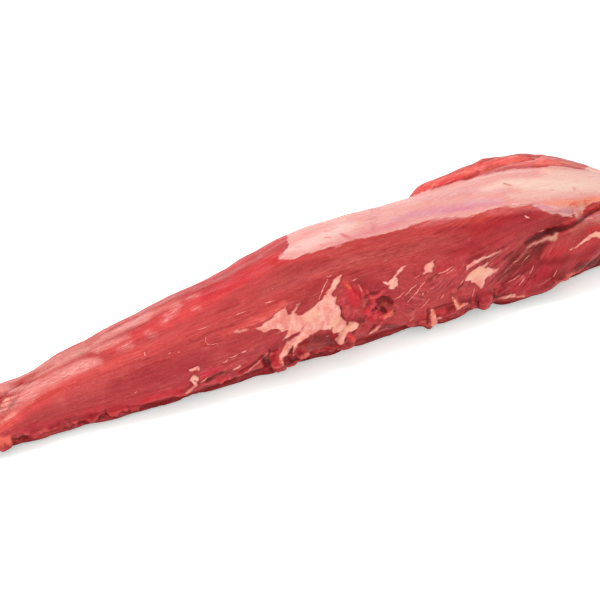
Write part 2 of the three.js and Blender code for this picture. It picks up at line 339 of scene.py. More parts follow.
coarser = meat.vertex_groups.new(name="coarser")
_, faces_back, faces_up = outward(meat).T
on_underside = corners(meat)[:, 2] < UNDERSIDE_HEIGHT
for where, share in (
    (faces_up > TOP_LOOKS_UP, COARSER_TOP),
    (faces_back > BACK_LOOKS_BACK, COARSER_BACK),
    (on_underside, COARSER_UNDERSIDE),
):
    coarser.add([int(i) for i in np.flatnonzero(where)], share, "REPLACE")
triangles = sum(len(f.vertices) - 2 for f in meat.data.polygons)
settle(
    meat, "DECIMATE", ratio=MOST_TRIANGLES / triangles, use_collapse_triangulate=True,
    vertex_group="coarser", vertex_group_factor=COARSER_PULL,
)

skin = corners(meat)
facing = outward(meat)

# Girth: a place on the muscle is told by its distance along the middle, in mm, and the angle round the
# girth there: 0 degrees is the front, 90 the top and 180 the back.
SLICE = 10
CORE_HEIGHT, UPPER_FROM = 0.47, 0.45
OUTSIDE = 0.2
slices = np.arange(skin[:, 0].min() + SLICE / 2, skin[:, 0].max(), SLICE)
middle_y = np.empty(len(slices))
middle_z = np.empty(len(slices))
for i, x in enumerate(slices):
    ring = skin[np.abs(skin[:, 0] - x) < SLICE / 2]
    upper = ring[ring[:, 2] > UPPER_FROM * ring[:, 2].max()]
    middle_y[i] = (upper[:, 1].min() + upper[:, 1].max()) / 2
    middle_z[i] = CORE_HEIGHT * ring[:, 2].max()
SMEAR = np.array([0.25, 0.5, 0.25])
for line in (middle_y, middle_z):
    line[1:-1] = np.convolve(line, SMEAR, "valid")


def around(points):
    """The angle round the girth, from -90 to 270 degrees."""
    y = points[:, 1] - np.interp(points[:, 0], slices, middle_y)
    z = points[:, 2] - np.interp(points[:, 0], slices, middle_z)
    return (np.degrees(np.arctan2(z, -y)) + 90) % 360 - 90


angle = around(skin)
tree = surface_of(meat)


def turned(x, degrees, tree):
    """The point of the skin, in mm, at a distance along and an angle round the girth."""
    out = Vector((0, -math.cos(math.radians(degrees)), math.sin(math.radians(degrees))))
    core = Vector((x, np.interp(x, slices, middle_y), np.interp(x, slices, middle_z))) * MM
    hit, face, *_ = tree.ray_cast(core + out * OUTSIDE, -out)
    if hit is None:
        hit, face, *_ = tree.find_nearest(core)
    return np.array(hit) / MM, np.array(face)


# Drawing on the muscle: strokes and outlines lie where they show in the picture, or are told by the girth
# on the sides that it doesn't show. Their edges wander a little, because no edge on flesh is straight.
STROKE_STEP = 5
REACH, REACH_SEEN = 14, 12
TURNED_OFF_FROM = 0.1
WANDER, WANDER_SPACING = 0.7, 3.5
SEED_SHIFT = 31.7
MM_PER_DOT = 0.68


def swells(points, spacing, seed):
    """Smooth random values from about -1 to 1, with one swell for each spacing along every axis."""
    return np.array([noise.noise(p) for p in (points / spacing + SEED_SHIFT * seed).tolist()])


wandering = skin + WANDER * np.stack([swells(skin, WANDER_SPACING, seed) for seed in (21, 22, 23)], 1)


def stroke(marks, at=seen):
    """How deep inside a tapered stroke each point of the skin lies, in mm, and minus outside it.
    A mark is a place and the stroke's half width there, in mm."""
    spots = [(*at(m[0], m[1], tree), m[2]) for m in walk_along(marks, STROKE_STEP)]
    depth = np.full(len(skin), -float(REACH))
    for a, b in zip(spots, spots[1:] if len(spots) > 1 else spots):
        low = np.minimum(a[0], b[0]) - REACH - max(a[2], b[2])
        high = np.maximum(a[0], b[0]) + REACH + max(a[2], b[2])
        near = np.flatnonzero(np.all((skin > low) & (skin < high), axis=1))
        if not len(near):
            continue
        run = b[0] - a[0]
        t = np.clip((wandering[near] - a[0]) @ run / max(run @ run, 1e-6), 0, 1)
        away = np.linalg.norm(wandering[near] - a[0] - t[:, None] * run, axis=1)
        turned_off = np.clip(TURNED_OFF_FROM - facing[near] @ a[1], 0, 1) * REACH
        depth[near] = np.maximum(depth[near], a[2] + t * (b[2] - a[2]) - away - turned_off)
    return depth


def strokes(several, at=seen):
    """The deepest of several strokes."""
    return np.max([stroke(marks, at) for marks in several], axis=0)


def softly(several, soft, at=seen):
    """1 inside several strokes, 0 outside them, and an easy slope across their soft edge, given in mm."""
    return smooth_step(strokes(several, at), -soft, soft)


to_eye = np.array(eye.location) / MM - skin
shown_at = in_picture(wandering)
faces_eye = np.sum(facing * to_eye, axis=1) > 0


def edge_depth(places, outline):
    """How deep inside a closed outline each place lies, and minus outside it."""
    outline = np.array(outline, float)
    best = np.full(len(places), 1e9)
    inside = np.zeros(len(places), bool)
    for a, b in zip(outline, np.roll(outline, -1, axis=0)):
        run = b - a
        t = np.clip((places - a) @ run / (run @ run), 0, 1)
        best = np.minimum(best, np.linalg.norm(places - a - t[:, None] * run, axis=1))
        level = (a[1] > places[:, 1]) != (b[1] > places[:, 1])
        with np.errstate(divide="ignore", invalid="ignore"):
            crossing = a[0] + (places[:, 1] - a[1]) * (run[0] / run[1] if run[1] else 0)
        inside ^= level & (places[:, 0] < crossing)
    return np.where(inside, best, -best)


def patch(outline):
    """How deep inside an outline on the picture each point of the skin lies, in mm, and minus outside it."""
    low, high = np.min(outline, axis=0) - REACH_SEEN, np.max(outline, axis=0) + REACH_SEEN
    near = np.flatnonzero(np.all((shown_at > low) & (shown_at < high), axis=1) & faces_eye)
    depth = np.full(len(skin), -float(REACH))
    depth[near] = np.maximum(edge_depth(shown_at[near], outline) * MM_PER_DOT, -REACH)
    return depth


# Fibres: the long muscle's fibres run along it; on the lower front of the thick half they come down at a
# slant, where a second muscle wraps under the first. Over the two ends they lie level.
GIRTH_RADIUS = 42
SLANT, SLANT_STARTS, SLANT_ENDS, SLANT_BELOW = 0.62, (15, 60), (235, 285), (8, 34)
ENDS_FROM, ENDS_SPREAD = (240, 278), 1.3
slanted = smooth_step(skin[:, 0], *SLANT_STARTS) * (1 - smooth_step(skin[:, 0], *SLANT_ENDS))
slanted *= 1 - smooth_step(angle, *SLANT_BELOW)
girth = GIRTH_RADIUS * np.radians(angle)
across_fibre = girth - SLANT * (skin[:, 0] - SLANT_STARTS[1]) * slanted
at_ends = smooth_step(np.abs(skin[:, 0]), *ENDS_FROM)
across_fibre += at_ends * (ENDS_SPREAD * skin[:, 2] - across_fibre)
fibre = np.stack([skin[:, 0], across_fibre, np.zeros(len(skin))], 1)

# how much of each point lies out of the picture: behind the muscle, or past its cut-off ends
LOOKS_AWAY, OUT_OF_PICTURE = (0, 0.25), (306, 340)
looks_away = np.sum(facing * to_eye, axis=1) / -np.linalg.norm(to_eye, axis=1)
from_middle = np.abs(shown_at[:, 0] - PICTURE_SIDE / 2)
unseen = np.maximum(smooth_step(looks_away, *LOOKS_AWAY), smooth_step(from_middle, *OUT_OF_PICTURE))

# Silverskin: a thin, tough, pearly sheet of sinew that covers the top and the back of the thick half. It is
# pale cream in the middle, and mauve and lavender where the muscle shows through.
SILVER_FRONT_SEEN = [
    # where it ends on the front, in the picture, and far above it where it covers the top
    (288, 230), (286.5, 240), (289, 243.5), (288, 247), (284, 251.5), (279, 257), (279.5, 259),
    (284, 258.5), (290, 260.5), (300, 256.5), (308, 253.5), (316, 251), (322, 249.5), (331, 247.5),
    (340, 246), (346, 242.5), (354, 240), (372, 236.5), (385, 233.5), (398, 230), (410, 226), (420, 222),
    (432, 220.5), (445, 219), (458, 217.5), (466, 218), (474, 214.5), (484, 211.5), (492, 209),
    (500, 207.5), (512, 206.5), (533, 205), (538, 208), (545, 211.5), (551, 214), (558, 213.5), (563, 216),
    (572, 217), (573, 213.5), (577, 217), (581, 215), (584, 209), (588, 205), (593, 203), (598, 202),
    (610, 201), (622, 206), (634, 202), (641, 207), (652, 204), (648, 196), (660, 194), (652, 187),
    (662, 182), (640, 155), (420, 150),
]
SILVER_BEHIND = [
    # where it ends on the back: how far along in mm, and the angle round the girth
    (-34, 84), (-26, 100), (-8, 118), (20, 132), (50, 138), (74, 126), (92, 104), (140, 98), (190, 98),
    (225, 104), (250, 98), (258, 84), (250, 68), (215, 62), (170, 74), (90, 80), (20, 84),
]
BACK_WING_SEEN = [
    # the wing muscle behind, which the silverskin leaves bare
    (404, 200), (411, 196.5), (420, 192.5), (430, 189.5), (440, 187), (450, 183.5), (460, 180.5),
    (470, 178), (480, 176), (490, 174), (500, 171.5), (510, 169.5), (520, 168.3), (540, 168), (546, 166.5),
    (553, 165.3), (560, 165.3), (567, 166.6), (575, 168.4), (583, 169.4), (587, 168.6), (588, 165),
    (582, 154), (556, 130), (400, 130),
]
silver = np.maximum(
    patch(SILVER_FRONT_SEEN),
    edge_depth(
        np.stack([skin[:, 0], girth], 1),
        [(x, GIRTH_RADIUS * math.radians(a)) for x, a in SILVER_BEHIND],
    ),
)

# how far its edge wanders, in mm: out of the picture, and on the head's last slope, which is seen edge on
SILVER_BROAD, SILVER_FINE, SKIMMED_EDGE = 6, 2, 5
SKIMMED_FACING, SKIMMED_COLUMNS = (-0.35, 0), (545, 570)
FADES_BY, FADES_SOFT = 0.8, 3
silver += unseen * (SILVER_BROAD * swells(fibre, (30, 10, 1), 7) + SILVER_FINE * swells(fibre, (8, 3, 1), 8))
silver = np.minimum(silver, -patch(BACK_WING_SEEN))
skimmed = smooth_step(looks_away, *SKIMMED_FACING) * smooth_step(shown_at[:, 0], *SKIMMED_COLUMNS)
silver += skimmed * SKIMMED_EDGE * swells(fibre, (12, 6, 1), 16)
FADING_SEEN = [
    # where its lower edge thins out into the flesh
    [(418, 223.5, 1.5), (432, 221, 2.5), (450, 218.5, 2.5), (466, 217, 1)],
    [(500, 208, 0.6), (536, 208, 1)],
]
silver *= 1 - FADES_BY * softly(FADING_SEEN, FADES_SOFT)

# Fat: soft creamy patches that cling where the trimmer's knife left them, ragged and drawn out along the
# fibres.
FORKED_FAT_SEEN = [
    # the large forked patch in the middle of the front
    (256, 329.3), (262, 325.5), (267, 321.5), (271, 318.3), (275.5, 314.3), (280, 311), (284, 307),
    (288, 303.8), (285, 309), (287.5, 311.5), (288, 314), (291, 313.5), (293.5, 310), (296.5, 305.5),
    (300.5, 302.5), (297.5, 308), (295, 312.5), (298, 315.5), (302, 315.3), (307, 312), (312, 308.5),
    (317, 303.5), (322, 299), (326, 293.5), (329.5, 287.5), (334, 280), (338, 277), (342, 275),
    (339.5, 281), (336, 287), (332, 294), (333.5, 297), (337.5, 294), (335.5, 299), (335, 304), (339, 306),
    (340.5, 310), (340, 315), (342.5, 318.5), (346, 321), (346, 326), (348.5, 324.5), (348, 322),
    (352, 321.3), (359, 323), (358, 327.5), (354, 331), (349, 332), (346, 335), (344.5, 342), (341, 344.5),
    (338, 344), (335, 340), (338, 335), (340, 332.5), (334, 333.5), (332, 331.5), (332.5, 327),
    (331, 329.8), (320, 329.6), (315, 332.5), (309, 335), (304, 340), (299, 343), (298, 344.5),
    (296.3, 348), (294, 352), (293, 356), (292.2, 352), (293.5, 348), (293, 345.5), (290, 349), (287, 355),
    (282, 358), (284, 366.5), (279, 358), (281, 354), (285, 345), (287, 341), (294, 338), (299.5, 333),
    (304, 326.5), (299, 330.5), (292, 334), (287, 337.5), (282.5, 340), (287, 334), (288, 329.5),
    (284, 331.5), (280, 330), (275, 328.5), (271, 329.2), (267, 331.7), (263, 332.2), (259, 330.5),
]
LEAF_FAT_SEEN = [
    # the leaf of fat before the wing
    (464, 280), (466, 277), (469, 273), (473, 270), (478, 267), (483, 264.5), (487, 262.5), (490, 262),
    (488, 264.5), (485.5, 266), (484.5, 268), (488, 267.3), (492, 267.5), (495.5, 267), (493, 269),
    (499, 268.3), (496, 271), (493, 272.5), (491, 275), (487, 277.5), (484, 280.5), (484.5, 283.5),
    (482.5, 287), (480, 288.5), (479, 286), (476, 284), (474, 282), (471, 281.3), (468, 281),
]
SMALL_LEAF_SEEN = [
    # the small leaf to its left
    (424, 267.5), (425.5, 264.5), (429, 262.5), (432, 261), (434.5, 258.5), (433.5, 262.5), (435, 265.5),
    (432, 268), (432, 271), (428.5, 272), (425, 273.5), (419.5, 277.5), (423, 272.5), (424.5, 271),
]
SPLIT_FAT_SEEN = [
    # the split one beside the torn hollow
    (406, 265.5), (403, 270), (399.5, 273.5), (396, 277), (398, 279.5), (397, 283), (398.5, 286),
    (395, 286.5), (393, 289), (391, 289.3), (388, 287.5), (390.5, 285), (387, 284.3), (384, 283.8),
    (381.5, 282), (385, 281.3), (389, 283), (391, 279.5), (394, 275), (398, 270.5), (401, 267),
]
FAT_SEEN = [
    # small patches: places in the picture and the half width in mm
    [(467, 269.5, 0.4), (467.5, 266.5, 1.1), (471, 265, 1.2), (475, 262.5, 1.1), (482, 258.8, 0.9),
        (490, 255.5, 0.7), (501, 250.5, 0.35)],
    [(452, 296.5, 0.5), (455, 302, 0.9), (458.5, 308, 1.4)],
    [(460, 308, 1.2), (462.5, 305, 1.0), (467, 303, 0.5)],
    [(432, 310, 0.8), (433, 316, 1.6), (434.5, 323, 2.4)],
    [(367, 335.5, 0.5), (371, 332.5, 0.9), (376, 329, 1.2), (379.5, 326, 0.8)],
    [(434, 320, 1), (440.5, 318, 1)],
    [(526, 216, 0.5), (527.5, 217.5, 0.9), (529.5, 218, 0.5)],
    [(570, 249.5, 0.4), (577, 246, 0.7), (584, 240.5, 0.9), (591, 236, 1.4), (596, 234.5, 2.2),
        (606, 234, 2.4)],
    [(498, 299, 0.5), (503, 297.5, 0.9), (510, 296, 1), (514, 294.5, 0.6)],
    [(512, 297, 0.7), (523, 296, 0.7)],
    [(190.5, 370, 0.7), (194, 369.3, 1), (197, 367.8, 1), (198.5, 369.5, 0.6)],
    [(191, 380, 0.9), (194.5, 377, 1.5), (197.5, 379.5, 1.2)],
    [(193, 381, 0.9), (196.5, 385, 1.2), (190, 390, 0.8), (186, 393.5, 0.5)],
    [(233, 333, 0.4), (237, 331.5, 1.1), (240, 330.5, 0.6), (245, 330, 0.9), (249, 328.5, 0.4)],
    [(233, 369, 0.5), (239, 366.5, 1.1), (242, 365.5, 0.6)],
    [(4, 401.5, 0.6), (8, 399.8, 1.2), (13, 398.2, 1), (18, 396, 0.4)],
    [(2, 405.8, 0.7), (6, 404.5, 1.1), (10, 403, 0.6)],
    [(1, 411.5, 0.6), (5, 409.8, 0.8), (9, 407.8, 0.4)],
]
FAT_BEHIND = [
    # patches out of view: how far along in mm, the angle round the girth, and the half width in mm
    [(-215, 200, 0.5), (-185, 206, 3), (-160, 212, 5), (-130, 206, 2)],
    [(-128, 190, 0.5), (-100, 186, 1.6), (-80, 180, 0.5)],
    [(-60, 196, 1), (-25, 202, 5), (10, 206, 8), (45, 200, 5), (70, 204, 2)],
    [(5, 204, 4), (22, 190, 2.6), (44, 178, 1.6), (66, 172, 0.5)],
    [(72, 158, 0.5), (88, 170, 2), (100, 186, 3.2), (106, 200, 3)],
    [(120, 198, 1), (150, 203, 5), (185, 198, 4), (215, 204, 1)],
    [(170, 165, 0.5), (190, 160, 1.4), (212, 158, 0.6)],
    [(236, 176, 0.6), (252, 160, 2.5), (264, 140, 3), (270, 122, 1)],
    [(246, -8, 0.6), (258, 2, 2.2), (270, 10, 1.2)],
    [(-262, 100, 0.8), (-256, 130, 1.4), (-246, 150, 0.6)],
]
fat = np.maximum(strokes(FAT_SEEN), strokes(FAT_BEHIND, turned))
for outline in (FORKED_FAT_SEEN, LEAF_FAT_SEEN, SMALL_LEAF_SEEN, SPLIT_FAT_SEEN):
    fat = np.maximum(fat, patch(outline))
FAT_BROAD, FAT_FINE = 4, 2
fat += unseen * (FAT_BROAD * swells(fibre, (14, 5, 1), 9) + FAT_FINE * swells(skin, 3.0, 10))

# Relief: long bundles of fibre, furrows between the muscles, lumps of fat, and the rough floor of the torn
# places.
SILVER_SLOPE, FAT_SLOPE, TORN_SLOPE = (-1, 2), (-0.7, 1.3), (-3, 2)
FRONT_EDGE, BACK_EDGE = (-12, 14), (172, 196)
bundle = swells(fibre, (60, 7, 1), 1)
strand = swells(fibre, (24, 3, 1), 2)
lump = swells(skin, 6.0, 3)
crumb = swells(skin, 3.0, 4)
covered = smooth_step(silver, *SILVER_SLOPE)
fatty = smooth_step(fat, *FAT_SLOPE)
edge_zone = 1 - smooth_step(angle, *FRONT_EDGE) * (1 - smooth_step(angle, *BACK_EDGE))

TORN_SEEN = [
    # the torn hollow and the flap below it
    [(343, 300, 4), (352, 290, 5), (366, 292, 8), (382, 300, 8), (388, 312, 5)],
    [(352, 314, 5), (370, 318, 8), (384, 318, 4)],
]
ragged = smooth_step(strokes(TORN_SEEN), *TORN_SLOPE)

DENTS_SEEN = [
    # depth and half width in mm, then places in the picture
    (2.4, 2.2, [(600, 207), (592, 210), (585, 216), (576, 223), (562, 228), (550, 232)]),
    (1.2, 2.6, [(552, 230), (540, 234), (530, 240), (522, 247), (512, 260)]),
    (0.5, 0.9, [(370, 256), (380, 252), (387, 248.5)]),
    (0.5, 0.9, [(384, 256), (396, 253), (406, 249), (418, 244)]),
    (0.5, 0.8, [(420, 241), (432, 236), (441, 231), (450, 227)]),
    (0.8, 1.1, [(191, 342), (205, 336), (222, 328)]),
    (0.7, 1.1, [(224, 311), (239, 304)]),
    (2.2, 1.3, [(382.5, 308.5), (384.5, 311)]),
    (1.3, 1.8, [(379, 300), (385, 299), (390, 301)]),
    (1.2, 0.9, [(428, 309), (428.5, 316), (426.5, 323)]),
    (1.6, 1.2, [(495, 290), (496, 298)]),
    (1.5, 1.5, [(80, 424), (86, 421)]),
    (1.5, 1.5, [(101, 418), (106, 415)]),
    (1.5, 2.0, [(142, 408), (150, 404)]),
    (2.2, 1.8, [(263, 357), (267, 364), (270, 369)]),
    (0.5, 1.1, [(18, 393), (30, 383), (45, 372)]),
    (0.5, 1.0, [(6, 392), (18, 385), (30, 377), (55, 364)]),
    (0.6, 0.9, [(512, 287), (524, 281), (535, 275)]),
    (1.6, 2.0, [(14, 440), (21, 439), (28, 438)]),
]
DENTS_BEHIND = [
    # the seams of the back and of the head: depth and half width in mm, then places round the girth
    (1.6, 2.2, [(-225, 150), (-160, 158), (-90, 152), (-20, 160), (60, 152), (95, 146)]),
    (1.1, 1.6, [(-90, 152), (-50, 172), (0, 184)]),
    (1.2, 1.8, [(118, 132), (150, 140), (190, 150), (240, 152)]),
    (1.6, 1.8, [(240, 30), (262, 44), (274, 70), (276, 110)]),
    (1.0, 1.4, [(-280, 60), (-262, 84), (-240, 96)]),
]
GAPS_SEEN = [
    # the slits between folds and lobes, dented and darkened with painted shade
    [(270, 350), (268.5, 356), (270, 364)],
    [(288, 358), (293, 361), (298, 358.5)],
    [(291.5, 347), (289, 353)],
    [(478, 293), (476, 299), (479, 307)],
    [(494, 289), (495, 297), (492, 303)],
    [(432, 309), (443, 305.5), (453, 302.5)],
    [(469, 299), (472, 304), (470, 308.5)],
    [(453, 297), (458, 289), (463, 284)],
    [(341, 307), (341.5, 313), (345, 319)],
    [(370, 331), (376, 325)],
    [(345.5, 334), (346, 343)],
    [(356, 329.5), (352.5, 333)],
    [(105, 410), (106, 416)],
    [(128.5, 407), (129.5, 412)],
    [(206, 382), (214, 376.5), (222, 373)],
    [(240, 371.5), (250, 366), (262, 357.5)],
    [(310, 356.5), (325, 353.5), (340, 351.5), (350, 349)],
]
GAP_DEPTH, GAP_HALF = 0.6, 0.6
FOLD_RUN, FOLD_RISE, FOLD_SHARPNESS = 0.75, 0.66, 3.5
BUNDLE_HEIGHT, STRAND_HEIGHT, SILVER_SMOOTHS = 0.5, 0.22, 0.85
FAT_HEIGHT, FAT_FOLD, FAT_CRUMB = 0.6, 0.25, 0.3
TORN_LUMP, TORN_CRUMB, TORN_SINKS = 0.7, 0.5, 0.3
EDGE_LUMP, EDGE_CRUMB = 0.6, 0.3
RELIEF_FULL_FROM = 3
height = BUNDLE_HEIGHT * bundle + STRAND_HEIGHT * strand
height *= 1 - SILVER_SMOOTHS * covered
along_fold = FOLD_RUN * skin[:, 0] + FOLD_RISE * skin[:, 2]
across_fold = FOLD_RISE * skin[:, 0] - FOLD_RUN * skin[:, 2]
leaning = np.stack([along_fold, across_fold, skin[:, 1]], 1)
fold = 1 - FOLD_SHARPNESS * np.abs(swells(leaning, (11, 3.5, 11), 6))
height += fatty * (FAT_HEIGHT + FAT_FOLD * fold + FAT_CRUMB * crumb)
height += (1 - fatty) * ragged * (TORN_LUMP * lump + TORN_CRUMB * crumb - TORN_SINKS)
height += edge_zone * (EDGE_LUMP * swells(fibre, (16, 7, 1), 5) + EDGE_CRUMB * crumb)
for dents, at in ((DENTS_SEEN, seen), (DENTS_BEHIND, turned)):
    for deep, half, marks in dents:
        height -= deep * softly([[(*m, half) for m in marks]], half, at)
gap = strokes([[(*m, GAP_HALF) for m in marks] for marks in GAPS_SEEN])
height -= GAP_DEPTH * smooth_step(gap, -GAP_HALF, GAP_HALF)

on_board = skin[:, 2] < BOARD_CONTACT / MM
height *= smooth_step(skin[:, 2], BOARD_CONTACT / MM, RELIEF_FULL_FROM)
relief = skin + facing * height[:, None]
relief[:, 2] = np.maximum(relief[:, 2], 0)
relief[on_board, 2] = 0
reshape(meat, relief)

# Hollows: how far each point stands above or below the flesh around it, in mm. The colour is darkened in
# the hollows as painted shade, and lightened on the ridges as a painted highlight.
HOLLOW_ROUNDS = 8
pairs = np.empty(2 * len(meat.data.edges), int)
meat.data.edges.foreach_get("vertices", pairs)
ends = pairs.reshape(-1, 2)
tied = np.concatenate([ends, ends[:, ::-1]])
ties = np.bincount(tied[:, 0], minlength=len(skin))


def evened(values, rounds):
    """Values at the points, each moved towards the mean of its neighbours, some rounds long."""
    for _ in range(rounds):
        sums = [np.bincount(tied[:, 0], column[tied[:, 1]], len(skin)) for column in values.T]
        values = (values + np.stack(sums, 1) / ties[:, None]) / 2
    return values


stands_out = np.sum((relief - evened(relief, HOLLOW_ROUNDS)) * facing, axis=1)

# Colours of the flesh: bright red where the cut is fresh, duller and browner where it is thicker and has
# met the air, crimson where it was torn, and orange where sinew and fat run thin over it. Some tints are
# painted shade in creases, hollows and under flaps, and a few are painted highlights.
FULL_LIGHT = 1.3
WET_SHEEN = 0.018
DARKEST = 0.004


def straight(red, green, blue):
    """A picture colour, 0 to 255, as amounts of light."""
    return np.array([((c / 255 + 0.055) / 1.055) ** 2.4 for c in (red, green, blue)])


def pigment(red, green, blue):
    """The pigment that shows as a picture colour once it is lit and the wet surface adds its pale sheen."""
    return (*np.maximum(DARKEST, (straight(red, green, blue) - WET_SHEEN) / FULL_LIGHT), 1.0)


# how far a face looks up, how much light it gets there, and how much pale sheen
LOOKS_UP = [-1, -0.3, 0, 0.3, 0.6, 1]
LIT = [1.05, 1.25, 1.27, 1.27, 1.36, 1.52]
LIT_SHEEN = [0.04, 0.035, 0.026, 0.019, 0.02, 0.046]


def lit_pigment(shown):
    """The pigment that shows as the asked colour at each point: the more it looks up, the more it is lit."""
    light = np.interp(facing[:, 2], LOOKS_UP, LIT)[:, None]
    sheen = np.interp(facing[:, 2], LOOKS_UP, LIT_SHEEN)[:, None]
    return np.maximum(DARKEST, (shown - sheen) / light)


def tinted(ground, tints):
    """The ground colour with soft tints laid over it, each a colour, softness in mm, strength and strokes."""
    for colour, soft, strength, *several in tints:
        share = strength * softly(several, soft)
        ground = ground + share[:, None] * (straight(*colour) - ground)
    return ground


